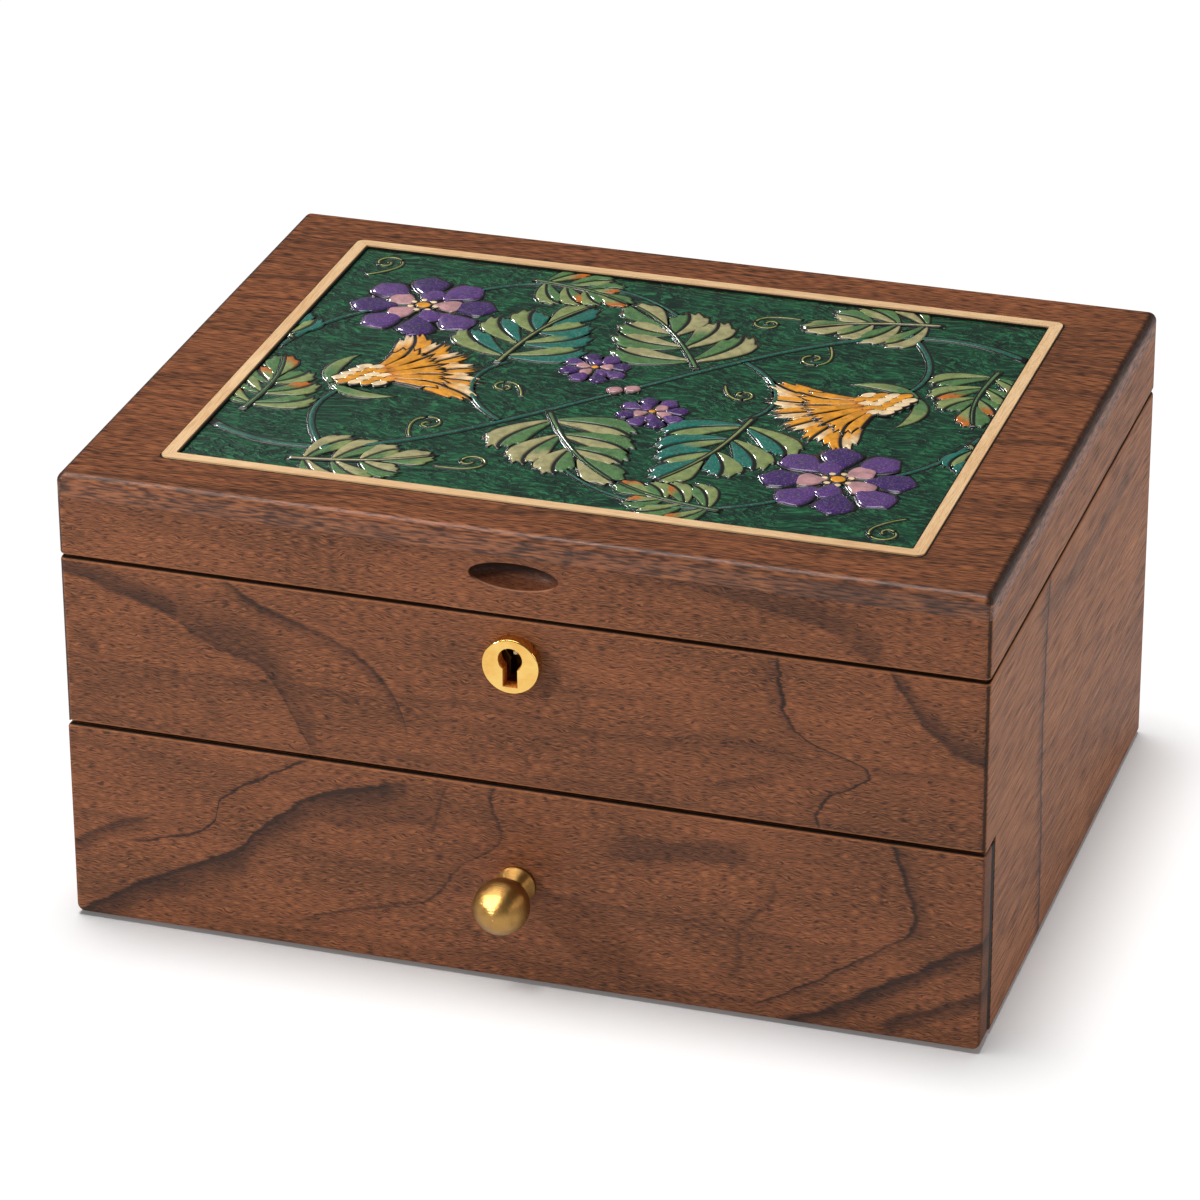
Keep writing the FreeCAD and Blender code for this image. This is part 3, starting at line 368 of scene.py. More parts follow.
def wood(name, along, across, deep, face=0, strokes=(), rings=None, tilt=0.0, wave=5.0, endAt=None,
         flecked=1.0, streaked=0.3, stretch=1.0, seams=(), corner=None, sheen=0.25, streakHeight=1.7,
         grained=0.0, grainHeight=4.5, fleck=(3.0, 0.25), scooped=False, turned=None, look=walnutLook):
    # along, across and deep say which axis runs with the fibres, over the face and into the board.
    # Rings are the growth lines that run with the board; strokes are drawn lines of its figure.
    # Where turned gives a share above 0, the fibres run the other way that it names.
    # fleck is the length and height of the small dark marks, in millimetres.
    paint = Paint(name, look["middle"])
    pick = dict(zip("xyz", paint.axes()))
    a, c, d = pick[along], pick[across], pick[deep] - face
    if turned:
        share, others = turned(pick)
        a, c, d = [first + (second - first) * share for first, second in zip((a, c, d), others)]

    def noise(length, height, depth, detail=3, c=c):
        return paint.noise(1, detail, at=(a / length, c / height, d / depth))

    slow, wobble, ragged = noise(85, 34, 40, 2) - 0.5, noise(11, 4, 6) - 0.5, noise(2.6, 0.7, 0.7, 2) - 0.5
    band = 0.0
    if rings:
        seed, low, high, step = rings
        height = c + d * 0.8 + a * tilt + slow * wave * 4 + wobble * 3
        band = paint.ramp((height - low) / (high - low), ringStops(*rings)) * look["ringDepth"]
    for stroke in strokes:
        band = stroke.band(paint, a, c, wobble, ragged).atLeast(band)
    band = (band * figureDepth * (0.85 + noise(22, 9, 12).step(0.35, 0.6) * 0.25)).atMost(0.9)

    squiggle = paint.noise(1, 2, at=(a / 7 / stretch, c / 3.4, d / 3.4)) - 0.5
    drift = c + wobble * (2.4 / stretch) + slow * 7 + squiggle * (2.6 / stretch)
    pores = paint.node("TexVoronoi", {}, {"Vector": paint.vector(
        a / look["poreLength"] / stretch, drift / poreHeight, d / poreHeight)}).step(0.5, 0.2)
    fine = paint.noise(1, 1, 0.35, at=(a / fleck[0], drift / fleck[1], d / fleck[1]))
    coarse = paint.noise(1, 3, at=(a / 8 / stretch, drift / 1.2, d / 1.2))
    streak = noise(60, streakHeight, streakHeight, c=drift).step(0.35, 0.65)
    cloud = noise(50, 20, 20).step(0.3, 0.7)

    paint.cover(cloud * (1 - streaked) + streak * streaked, look["light"])
    paint.cover(fine.step(0.5, 0.34) * 0.55 * flecked, look["warm"])
    paint.cover(coarse.step(0.44, 0.7) * 0.08, look["dark"])
    if grained:
        # thin dark growth lines, close together
        height = c + a * tilt + slow * wave * 3 + wobble * 1.5
        lines = paint.noise(1, 3, 0.65, at=(a / 320, height / grainHeight, 0))
        paint.cover(lines.step(0.5, 0.62) * grained, look["dark"])
    paint.cover(band, look["dark"])
    paint.cover(pores * 0.1 * flecked, look["pore"])
    paint.cover(fine.step(0.5, 0.66) * 0.66 * flecked, look["pore"])
    rough, coat = 0.44, sheen / 5
    if turned:
        paint.cover(share * (1 - share) * 3.2, look["pore"])
    if endAt:
        ended = abs(pick[along]).step(endAt - 0.9, endAt - 0.2)
        paint.cover(ended * 0.4, look["endGrain"])
        rough = ended * 0.25 + rough
    if corner:
        # painted shade on the rounded corner
        axis, place = corner
        paint.cover(abs(pick[axis]).step(place - 0.8, place - 0.2) * 0.8, markLook["corner"])
    paintSeamShadeAndHighlight(paint, pick, d, ragged, seams, look["warm"])
    if turned is lidEnds:
        coat = paintLidEndShade(paint, pick, coat)
    if endAt:
        # painted shade in the gap behind the drawer's front
        paint.cover(pick["y"].step(*markLook["behindDrawerFront"])
                    * abs(pick["x"]).step(*markLook["besideDrawerFront"]), markLook["gap"])
    if scooped:
        paintScoopShadeAndHighlight(paint, pick, d)
    sunk = pores * 0.7 + fine.step(0.48, 0.66) * 0.5 + coarse * 0.3
    return paint.finish(rough + sunk * 0.14, Specular_IOR_Level=sheen, Coat_Weight=coat, Coat_Roughness=0.25,
                        Normal=paint.bump(-sunk, 0.5, 0.00014))


# The figure of the boards that the photo shows

lidFigure = [
    Stroke(16, 0.34, 0.3, (46, 149), (75, 145), (98, 140), (113, 131), (119, 127), core=2.5),
    Stroke(3, 0.3, 0.2, (-20, 152.6), (40, 151), (90, 152), (152, 149.5), core=1),
]
panelFigure = [
    Stroke(9, 0.5, 0.42, (-153, 125), (-133, 120), (-120, 116), (-104, 112), core=2.5, fade=(0, 10)),
    Stroke(24, 0.42, 0.34, (-112, 114), (-107, 109), (-97, 104), (-85, 100), (-79, 94), (-73, 83), (-66, 70),
           core=1.5, fade=(3, 0)),
    Stroke(7, 0.5, 0.26, (-96, 130), (-88, 123), (-67, 115), (-49, 106), (-38, 92), (-35, 81), (-34, 70),
           core=1.8, side=-1, fade=(0, 4)),
    Stroke(5, 0.16, 0.1, (-70, 120), (-52, 113), (-38, 101), (-28, 92), core=3),
    Stroke(6, 0.24, 0.08, (12, 107), (21, 101), (20, 94), (5, 84), (4, 70), by=1, side=-1),
    Stroke(4, 0.22, 0.06, (-6, 96), (-13, 90), (-14, 83), (-12, 70), by=1),
    Stroke(9, 0.62, 0.2, (84, 130), (85, 118), (88, 106), (95, 100), (109, 95), (113, 92.5), (110, 88),
           (99, 80), (97, 75), (101, 68), by=1, side=-1, core=1.1, fade=(0, 0)),
    Stroke(9, 0.5, 0.3, (118, 130), (125, 119), (133, 109), (140, 104), (153, 100), core=2.6, fade=(0, 0)),
    Stroke(4, 0.3, 0.2, (60, 79.5), (70, 83), (86, 88), side=-1, core=2),
    Stroke(8, 0.2, 0.26, (-110, 90), (-103, 83), (-94, 74), core=4),
    Stroke(4, 0.18, 0.14, (-150, 78), (-136, 84), (-118, 92), core=3),
    Stroke(5, 0.2, 0.16, (-148, 108), (-142, 98), (-141, 92), by=1, core=3),
]
drawerFigure = [
    Stroke(6, 0.46, 0.3, (-153, 24), (-146, 29), (-138, 34), (-120, 41), side=-1, core=2.6, fade=(0, 8)),
    Stroke(3, 0.62, 0.14, (-134, 30), (-122, 32), (-105, 38), (-101, 42), (-99, 49), (-92, 55), (-77, 64),
           (-66, 71), core=1.0, fade=(10, 0)),
    Stroke(15, 0.66, 0.46, (-149, 1), (-134, 11), (-118, 20), (-102, 28), (-93, 33), (-87, 40), (-80, 46),
           (-67, 56), (-49, 62), (-30, 66), side=-1, core=1.6, fade=(0, 14)),
    Stroke(8, 0.34, 0.3, (-74, 50), (-52, 48), (-35, 53), (-18, 50), core=3, fade=(14, 12)),
    Stroke(5, 0.4, 0.16, (-22, 70), (-25, 60), (-29, 46), by=1, side=-1),
    Stroke(10, 0.46, 0.16, (-7, 70), (-8, 62), (-5, 51), (-9, 46), (-19, 38), (-29, 25), (-33, 23.5), by=1,
           side=-1, core=1.1, fade=(0, 0)),
    Stroke(8, 0.4, 0.14, (-76, 9), (-59, 16), (-42, 21), (-31, 24), side=-1, core=1.1, fade=(8, 0)),
    Stroke(8, 0.34, 0.36, (22, 51), (51, 53), (60, 54.5), (84, 57), core=4, fade=(16, 16)),
    Stroke(5, 0.3, 0.1, (84, 52), (83, 44), (75, 34), (72, 28), (73, 20), (66, 12), by=1, side=-1, core=2),
    Stroke(7, 0.56, 0.24, (120, 72), (124, 61), (128, 48), (128.5, 41), (121, 34), (107, 24), (94, 15),
           (78, 6), by=1, core=1.5, fade=(0, 3)),
    Stroke(7, 0.62, 0.42, (153, 40), (142, 34), (130, 26), (116, 17), (102, 8), (84, 1), side=-1, core=2.2,
           fade=(6, 0)),
    Stroke(6, 0.5, 0.3, (153, 22), (135, 13), (116, 4), side=-1, core=3, fade=(6, 0)),
    Stroke(3, 0.3, 0.12, (30, 4), (45, 4.5), (69, 6), (86, 2), core=1.4),
]
sideFigure = [
    Stroke(9, 0.8, 0.3, (-34, 130), (-38, 107), (-39, 87), (-39, 65), (-37, 43), (-36, 20), (-36, 0), by=1,
           core=1.6, side=-1, fade=(0, 4)),
    Stroke(8, 0.3, 0.2, (-60, 122), (-20, 117), (30, 114), (100, 116), core=3, side=-1, fade=(20, 20)),
]


def dressWood():
    caseTop, lidFoot, drawerTop, panelFoot = (128.1, -1), (128.9, 1), (69.3, -1), (70.3, 1)
    front = dict(along="x", across="z", deep="y", face=-113, sheen=0.2)
    faced = dict(front, corner=("x", 149.4))
    side = dict(along="y", across="z", deep="x", wave=2.4, streaked=0.6, flecked=0.8, sheen=0.08,
                streakHeight=1.3, stretch=12, grained=0.25, grainHeight=2.6, fleck=(16, 0.46),
                corner=("y", 112.4), look=sideLook)
    right = dict(side, face=150)
    left = dict(side, face=-150, look=walnutLook, streaked=0.45, flecked=0.5, sheen=0.2, grained=0.15,
                fleck=(7, 0.32))
    flat = dict(along="x", across="y", deep="z")
    inside = dict(look=liningWoodLook, sheen=0.15, flecked=0.5, stretch=3, wave=8, fleck=(8, 0.4))
    insideFlat, insideSide = dict(inside, **flat), dict(inside, along="y", across="z", deep="x")
    boards = {
        "drawer_front": dict(front, strokes=drawerFigure, rings=(4, -20, 100, 9), tilt=0.03, endAt=150,
                             seams=[drawerTop]),
        "carcase_front_panel": dict(faced, strokes=panelFigure, rings=(5, 40, 160, 12),
                                    seams=[panelFoot, caseTop]),
        "lid_rim_front": dict(faced, strokes=lidFigure, rings=(7, 100, 175, 12), seams=[lidFoot],
                              scooped=True),
        "lid_top_board": dict(flat, face=157, rings=(3, -170, 170, 16), streaked=0.5, wave=7, tilt=-0.1,
                              stretch=2.2, turned=lidEnds, grained=0.5, grainHeight=3.2, fleck=(5, 0.6),
                              sheen=0.2),
        "carcase_right_side": dict(right, strokes=sideFigure, rings=(11, -30, 170, 12), seams=[caseTop]),
        "lid_rim_right": dict(right, rings=(12, 100, 190, 12), seams=[lidFoot]),
        "carcase_left_side": dict(left, rings=(15, -30, 170, 12), seams=[caseTop]),
        "lid_rim_left": dict(left, rings=(16, 100, 190, 12), seams=[lidFoot]),
        "carcase_back_panel": dict(faced, face=113, rings=(21, -30, 180, 14), wave=9, seams=[caseTop]),
        "lid_rim_back": dict(faced, face=113, rings=(22, 100, 190, 14), seams=[lidFoot]),
        "mirror_frame": dict(flat, face=142, rings=(25, -120, 120, 12), stretch=2, fleck=(5, 0.4),
                             turned=mitreAt(37)),
        "inlay_banding": dict(flat, face=157, look=boxWoodLook, flecked=0.35, stretch=3, fleck=(8, 0.5),
                              sheen=0.3, turned=mitreAt(30.8)),
        "carcase_bottom": dict(insideFlat, rings=(31, -110, 110, 15)),
        "dust_board": dict(insideFlat, rings=(32, -110, 110, 15)),
        "drawer_bottom": dict(insideFlat, rings=(33, -110, 110, 15)),
        "drawer_stop": insideFlat,
        "drawer_back": dict(inside, along="x", across="z", deep="y", rings=(34, 0, 80, 10)),
        "drawer_left_side": dict(insideSide, rings=(35, 0, 80, 10)),
        "drawer_right_side": dict(insideSide, rings=(36, 0, 80, 10)),
    }
    for node, look in boards.items():
        wear(node, wood("wood " + node.replace("_", " "), **look))


print("wood")
dressWood()
# less than the 0.5 mm that the grooves for the drawer's bottom stop short of the sides' ends
drawerEasing = 0.35
for board, name in (("drawer_back", "drawerBack"), ("drawer_left_side", "drawerLeftSide"),
                    ("drawer_right_side", "drawerRightSide")):
    easedCopy(board, name, drawerEasing, nodes[board].data.materials[0])


# Brass, mirror and stringing

brassLook = {
    # colour, deeper colour, roughness, depth of the brushed marks in metres
    "polished_brass": ("#f5cd78", "#e3a043", 0.13, 0.000002),
    "satin_brass": ("#a9834b", "#76552a", 0.3, 0.000012),
    "lock_brass": ("#cfa860", "#9c7638", 0.32, 0.000012),
    "hinge_brass": ("#cba35a", "#94702f", 0.3, 0.000012),
}
knobLook = {"middle": 35.5, "grooves": 2.2, "depth": 0.0002}


def brass(slot, turned=False):
    colour, deeper, rough, depth = brassLook[slot]
    paint = Paint(slot.replace("_", " ") + (" turned" if turned else ""), colour)
    x, y, z = paint.axes()
    if turned:
        # fine rings about the knob's own axis
        over = z - knobLook["middle"]
        radius = (x * x + over * over).root()
        marks = paint.noise(1, 3, 0.7, at=((radius + y) * knobLook["grooves"], 0, 0))
        normal = paint.bump(marks, 0.9, knobLook["depth"])
    else:
        marks = paint.noise(1, 3, 0.6, at=(x / 14, y / 0.35, z / 0.35))
        normal = paint.bump(marks, 0.4, depth)
    cloud = paint.noise(0.16, 3, 0.6)
    paint.cover(cloud.step(0.35, 0.75) * 0.5 + marks.step(0.4, 0.7) * 0.12, deeper)
    return paint.finish(rough + (marks - 0.5) * 0.12 * rough, Metallic=1.0, Normal=normal)


def sawnBrass(name, colour, deeper, rough):
    # dulled by the saw, so part of its colour is its own
    paint = Paint(name, colour)
    marks = paint.noise(1.6, 3, 0.6)
    paint.cover(marks.step(0.35, 0.65), deeper)
    return paint.finish(rough, Metallic=0.3, Normal=paint.bump(marks, 0.4, 0.00004))


def stringing():
    paint = Paint("black stringing", "#0b0908")
    grain = paint.noise(1.3, 3, 0.6)
    paint.cover(grain.step(0.4, 0.7), "#1d1713")
    return paint.finish(0.42 + grain * 0.1, Specular_IOR_Level=0.3, Normal=paint.bump(grain, 0.2, 0.00005))


mirrorLook = {"bevelWidth": 14.5, "bevelDepth": 0.45, "easing": 0.25, "colour": "#e9edec", "spot": "#b9c0bd"}


def makeMirror():
    # a glass plate with a wide shallow bevel round its face, which looks down
    low, high = corners("lid_mirror")
    shape = block(high - low, (low + high) / 2)
    face = min(shape.faces, key=lambda face: face.calc_center_median().z)
    rim = list(face.verts)
    bmesh.ops.inset_region(shape, faces=[face], thickness=mirrorLook["bevelWidth"] * mm,
                           use_even_offset=True)
    bmesh.ops.translate(shape, verts=rim, vec=(0, 0, mirrorLook["bevelDepth"] * mm))
    ease(shape, mirrorLook["easing"])
    paint = Paint("silvered glass", mirrorLook["colour"])
    bloom = paint.noise(0.05, 4, 0.65)
    paint.cover(bloom.step(0.55, 0.8) * 0.4, mirrorLook["spot"])
    silver = paint.finish(0.015 + bloom.step(0.5, 0.8) * 0.05, Metallic=1.0)
    for polygon in standIn(shape, "mirrorGlass", "lid_mirror", silver).data.polygons:
        polygon.use_smooth = False


escutcheonLook = {
    # millimetres: the plate, the keyhole's round part over its middle, and its slot
    "radius": 9.2,
    "face": -117.0,
    "back": -112.9,
    "height": 113.6,
    "edge": 0.45,
    "holeOver": 2.3,
    "holeRadius": 3.9,
    "holeHeight": 13,
    "slotWidth": 4.6,
    "holeEdge": 0.16,
}


def turnedBar(name, profile, height):
    # a solid turned about the line that runs into the box at a height
    shape = bmesh.new()
    line = [shape.verts.new((radius * mm, y * mm, 0)) for radius, y in profile]
    edges = [shape.edges.new(pair) for pair in zip(line, line[1:])]
    bmesh.ops.spin(shape, geom=line + edges, cent=(0, 0, 0), axis=(0, 1, 0), angle=math.tau, steps=96,
                   use_merge=True)
    bmesh.ops.remove_doubles(shape, verts=shape.verts, dist=0.001 * mm)
    bmesh.ops.recalc_face_normals(shape, faces=shape.faces)
    bmesh.ops.translate(shape, verts=shape.verts, vec=(0, 0, height * mm))
    return asObject(shape, name)


def makeEscutcheon():
    # turned from its outline, with the keyhole cut through it
    look = escutcheonLook
    radius, edge, face, back = look["radius"], look["edge"], look["face"], look["back"]
    turns = [math.radians(angle) for angle in range(0, 91, 15)]
    rounded = [(radius - edge + edge * math.cos(turn), face + edge - edge * math.sin(turn)) for turn in turns]
    plate = turnedBar("plate", [(0, back), (radius, back)] + rounded + [(0, face)], look["height"])
    middle, hole = look["height"] + look["holeOver"], look["holeRadius"]
    bar = turnedBar("bar", [(0, face - 1), (hole, face - 1), (hole, back + 1), (0, back + 1)], middle)
    low = middle + hole - look["holeHeight"]
    slot = block((look["slotWidth"], back - face + 4, middle - low),
                 (0, (face + back) / 2 * mm, (middle + low) / 2 * mm), mm)
    flat = asObject(slot, "flat")
    for cutter in (bar, flat):
        cut = plate.modifiers.new("cut", "BOOLEAN")
        cut.object, cut.operation, cut.solver = cutter, "DIFFERENCE", "EXACT"
    shape = modified(plate)
    for spare in (plate, bar, flat):
        bpy.data.objects.remove(spare)
    bmesh.ops.remove_doubles(shape, verts=shape.verts, dist=0.005 * mm)
    bmesh.ops.dissolve_limit(shape, angle_limit=0.01, verts=shape.verts, edges=shape.edges)
    centre = Vector((0, face * mm, look["height"] * mm))
    keyholeReach, wallReach = 7.5 * mm, 8 * mm
    ease(shape, look["holeEdge"], where=lambda line: all(
        abs(v.co.y - centre.y) < 0.01 * mm and (v.co - centre).length < keyholeReach for v in line.verts))
    made = standIn(shape, "escutcheonPlate", "escutcheon", brass("polished_brass"))
    made.data.materials.append(sawnBrass("keyhole walls", "#e08a2c", "#a55d1c", 0.5))
    flatEdges = set()  # round the flat faces, so that they reflect as planes
    for polygon in made.data.polygons:
        if abs(polygon.normal.y) > 0.999:
            flatEdges.update(polygon.edge_keys)
        wall = abs(polygon.normal.y) < 0.5 and (polygon.center - centre).xz.length < wallReach
        polygon.material_index = int(wall)
    for edge in made.data.edges:
        edge.use_edge_sharp = edge.use_edge_sharp or edge.key in flatEdges


print("metal and glass")
for node, slot in slotOf.items():
    if slot in brassLook:
        wear(node, brass(slot, turned=node == "drawer_knob"))
wear("inlay_lines", stringing())
# the pin's cut end: pale brass, painted paler still as a painted highlight
wear("lock_drill_pin", sawnBrass("pin end", "#fff2cf", "#f0d79a", 0.35))
makeEscutcheon()
makeMirror()


# Velvet and felt

velvetLook = {
    "colour": "#0d3425",
    "crushed": "#08251a",
    "lit": "#1d4f3a",
    "seam": "#03110c",
    "sheen": "#7fae98",
    "pile": 0.00025,
}
feltLook = {"colour": "#16291f", "fibre": "#31473a", "pile": 0.0003, "easing": 0.5}
boardEasing = {"divider": 1.3, "other": 0.8}
ringRoll = {
    # millimetres, but for the pressure and the share of its room that the filling takes
    "voxel": 2.4,
    "shrink": 0.9,
    "glued": 2.2,
    "pressure": 4.0,
    "cap": 0.75,
    "seamAt": 2.2,
    "seamWidth": 1.6,
    "seamDepth": 0.45,
    "crumple": 0.16,
    "fill": 0.8,
}
padLook = {"crown": 0.9, "slope": 11, "dent": 0.14, "sunk": 0.25, "fill": 0.4}


def velvet(name="green velvet", seams=()):
    paint = Paint(name, velvetLook["colour"])
    cloud = paint.noise(0.05, 3, 0.6)
    stroked = paint.noise(0.16, 3, 0.65, 0.8)
    pile = paint.noise(3.2, 2, 0.7)
    paint.cover(cloud.step(0.35, 0.68) * 0.6, velvetLook["crushed"])
    paint.cover(stroked.step(0.5, 0.66) * 0.3, velvetLook["lit"])
    paint.cover(pile.step(0.42, 0.7) * 0.35, velvetLook["crushed"])
    # painted shade along the seams, in their creases
    for place in seams:
        near = abs(paint.axes()[0] - place)
        paint.cover(near.step(0.7, 0.2) * 0.7, velvetLook["seam"])
    return paint.finish(0.86, Specular_IOR_Level=0.12, Sheen_Weight=0.55, Sheen_Roughness=0.4,
                        Sheen_Tint=velvetLook["sheen"],
                        Normal=paint.bump(pile + stroked * 0.6, 0.7, velvetLook["pile"]))


def felt():
    paint = Paint("felt", feltLook["colour"])
    matted = paint.noise(1.4, 4, 0.75, 1.2)
    paint.cover(matted.step(0.45, 0.65), feltLook["fibre"])
    return paint.finish(0.95, Specular_IOR_Level=0.05, Sheen_Weight=0.3, Sheen_Roughness=0.5,
                        Normal=paint.bump(matted, 0.6, feltLook["pile"]))


def inflate(roll, foot):
    # cloth simulation: pressure swells the roll, and the strip at its foot is glued down
    pinned = roll.vertex_groups.new(name="glued")
    low = foot + ringRoll["glued"] * mm
    pinned.add([vertex.index for vertex in roll.data.vertices if vertex.co.z < low], 1.0, "REPLACE")
    cloth = roll.modifiers.new("cloth", "CLOTH")
    cloth.settings.use_pressure = True
    cloth.settings.uniform_pressure_force = ringRoll["pressure"]
    cloth.settings.vertex_group_mass = "glued"
    cloth.settings.effector_weights.gravity = 0
    cloth.settings.quality = 6
    first, last = 1, 20
    cloth.point_cache.frame_start, cloth.point_cache.frame_end = first, last
    for step in range(first, last + 1):
        bpy.context.scene.frame_set(step)
    swollen = roll.evaluated_get(bpy.context.evaluated_depsgraph_get()).data
    moved = [vertex.co.copy() for vertex in swollen.vertices]
    roll.modifiers.clear()
    bpy.context.scene.frame_set(first)
    return moved


def blownUp(node):
    # the roll's plain solid, remeshed, a little smaller, then swollen
    blank = asObject(nodeShape(node), "rollBlank")
    remesh = blank.modifiers.new("remesh", "REMESH")
    remesh.mode, remesh.voxel_size, remesh.use_smooth_shade = "VOXEL", ringRoll["voxel"] * mm, True
    shape = modified(blank)
    bpy.data.objects.remove(blank)
    bmesh.ops.smooth_vert(shape, verts=shape.verts, factor=0.5, use_axis_x=True, use_axis_y=True,
                          use_axis_z=True)
    shape.normal_update()
    foot = min(vertex.co.z for vertex in shape.verts)
    for vertex in shape.verts:
        vertex.co -= vertex.normal * ringRoll["shrink"] * mm
    start = [vertex.co.copy() for vertex in shape.verts]
    roll = asObject(shape, "rollCloth")
    cap = ringRoll["cap"] * mm
    moved = inflate(roll, foot)
    shape = bmesh.new()
    shape.from_mesh(roll.data)
    for vertex, before, after in zip(shape.verts, start, moved):
        step = after - before
        if step.length > cap:
            step *= cap / step.length
        vertex.co = before + step
    bpy.data.objects.remove(roll)
    bmesh.ops.subdivide_edges(shape, edges=shape.edges, cuts=1, use_grid_fill=True, smooth=0.6)
    return shape


def makeRingRolls():
    master = blownUp("ring_roll_1")
    mesh = bpy.data.meshes.new("rollMaster")
    master.to_mesh(mesh)
    master.free()
    low, high = corners("ring_roll_1")
    middle = (low + high) / 2
    seams = (low.x / mm + ringRoll["seamAt"], high.x / mm - ringRoll["seamAt"])
    cloth = velvet("roll velvet", seams)
    for number in range(1, 6):
        node = f"ring_roll_{number}"
        shape = bmesh.new()
        shape.from_mesh(mesh)
        for vertex in shape.verts:
            place = vertex.co
            out = Vector((0, place.y - middle.y, place.z - middle.z + 2 * mm)).normalized()
            for seam in seams:
                near = abs(place.x / mm - seam)
                if near < ringRoll["seamWidth"] and place.z > low.z + 2 * mm:
                    place -= out * ringRoll["seamDepth"] * mm * (1 - near / ringRoll["seamWidth"])
            fold = mathutils.noise.noise(Vector((place.x * 160, place.y * 60, place.z * 60 + number * 9)))
            place -= out * abs(fold) * ringRoll["crumple"] * mm
        bmesh.ops.translate(shape, verts=shape.verts, vec=corners(node)[0] - low)
        roll = standIn(shape, f"ringRoll{number}", node, cloth)
        smooth = roll.modifiers.new("smooth", "SUBSURF")
        smooth.levels = smooth.render_levels = 1


def makePad(node, name, walls, cloth):
    # a thin pad that rises between the boards that stand on it
    low, high = corners(node)
    shape = bmesh.new()
    bmesh.ops.create_grid(shape, x_segments=90, y_segments=68, size=0.5)
    size = high - low
    bmesh.ops.scale(shape, verts=shape.verts, vec=(size.x, size.y, 1))
    bmesh.ops.translate(shape, verts=shape.verts, vec=((low.x + high.x) / 2, (low.y + high.y) / 2, high.z))
    blocks = [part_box(wall) for wall in walls]
    for vertex in shape.verts:
        place = vertex.co
        reach = min(place.x - low.x, high.x - place.x, place.y - low.y, high.y - place.y)
        for near, far in blocks:
            aside = max(near[0] - place.x, place.x - far[0], near[1] - place.y, place.y - far[1])
            reach = min(reach, max(0, aside))
        share = min(1, reach / (padLook["slope"] * mm))
        dent = mathutils.noise.noise(Vector(place) * 38) * padLook["dent"] * share
        place.z += (padLook["crown"] * (1 - (1 - share) ** 2) + dent - padLook["sunk"]) * mm
    extrudeTo(shape, low.z)
    bmesh.ops.recalc_face_normals(shape, faces=shape.faces)
    standIn(shape, name, node, cloth)


print("velvet and felt")
greenVelvet = velvet()
for node, slot in slotOf.items():
    if slot == "velvet" and "pad" not in node:
        name = "velvet" + "".join(word.title() for word in node.split("_"))
        easedCopy(node, name, boardEasing["divider" if "divider" in node else "other"], greenVelvet, 3)
makePad("compartment_floor_pad", "trayPad", [node for node in nodes if "compartment_divider" in node],
        greenVelvet)
makePad("drawer_floor_pad", "drawerPad", [node for node in nodes if "drawer_divider" in node], greenVelvet)
easedCopy("base_felt", "baseFelt", feltLook["easing"], felt())
makeRingRolls()


# Enamel relief in the lid: scrolling stems with lobed leaves, domed flowers and carnations

relief = {
    # millimetres
    "halfWidth": 118.4,
    "halfDepth": 87.6,
    "underside": 153.6,
    "ground": 156.3,
    "sunk": 0.5,
    "lineWidth": 0.62,
    "lineHeight": 0.12,
    "gap": 0.7,
    "leafCrown": 0.42,
    "petalCrown": 0.8,
    "layer": 0.26,
}
enamels = {
    "olive": "#7f8f58",
    "paleOlive": "#a19c70",
    "moss": "#4c7546",
    "teal": "#12695f",
    "amber": "#b9651c",
    "gold": "#dd9420",
    "cream": "#ecd2a8",
    "violet": "#3c1f62",
    "plum": "#553478",
    "mauve": "#b98a90",
    "vine": "#125a4e",
    "tendril": "#8f9c52",
}


def fan(t):
    return 0.08 + 0.92 * math.sin(min(1, t * 1.12) * math.pi / 2) ** 0.9


def petal(t):
    return max(0.04, math.sin(math.pi * min(1, t) ** 1.5)) ** 0.55


def spear(t):
    return max(0.05, math.sin(math.pi * min(1, t * 0.86 + 0.13))) ** 0.85


outlines = {
    # profile gives the width on the way, teeth cut the far end, bite is their depth, blunt pulls the
    # far end's corners back, square is how boxy the rounding is, and ahead is what the dark line adds
    "lobe": dict(profile=fan, rows=11, teeth=5, bite=0.13, blunt=0.4, square=4.0),
    "tip": dict(profile=fan, rows=11, teeth=5, bite=0.12, blunt=0.45, square=4.0),
    "rib": dict(profile=lambda t: 1 - 0.7 * t, rows=20),
    "stem": dict(profile=lambda t: 1 - 0.35 * t, rows=30, ahead=0),
    "tendril": dict(profile=lambda t: 1, rows=14),
    "dome": dict(profile=lambda t: max(0.04, 1 - (2 * t - 1) ** 2) ** 0.5, rows=12),
    "petal": dict(profile=petal, rows=12, blunt=0.3),
    "outerRay": dict(profile=fan, rows=14, teeth=5, bite=0.12, blunt=0.25, square=4.0),
    "innerRay": dict(profile=fan, rows=12, teeth=4, bite=0.14, blunt=0.3, square=4.0),
    "sepal": dict(profile=spear, rows=14, blunt=0.3, square=4.0),
}


def tooth(value):
    return abs((value % 1.0) * 2 - 1)


def turning(degrees):
    return Matrix.Rotation(math.radians(degrees), 2)


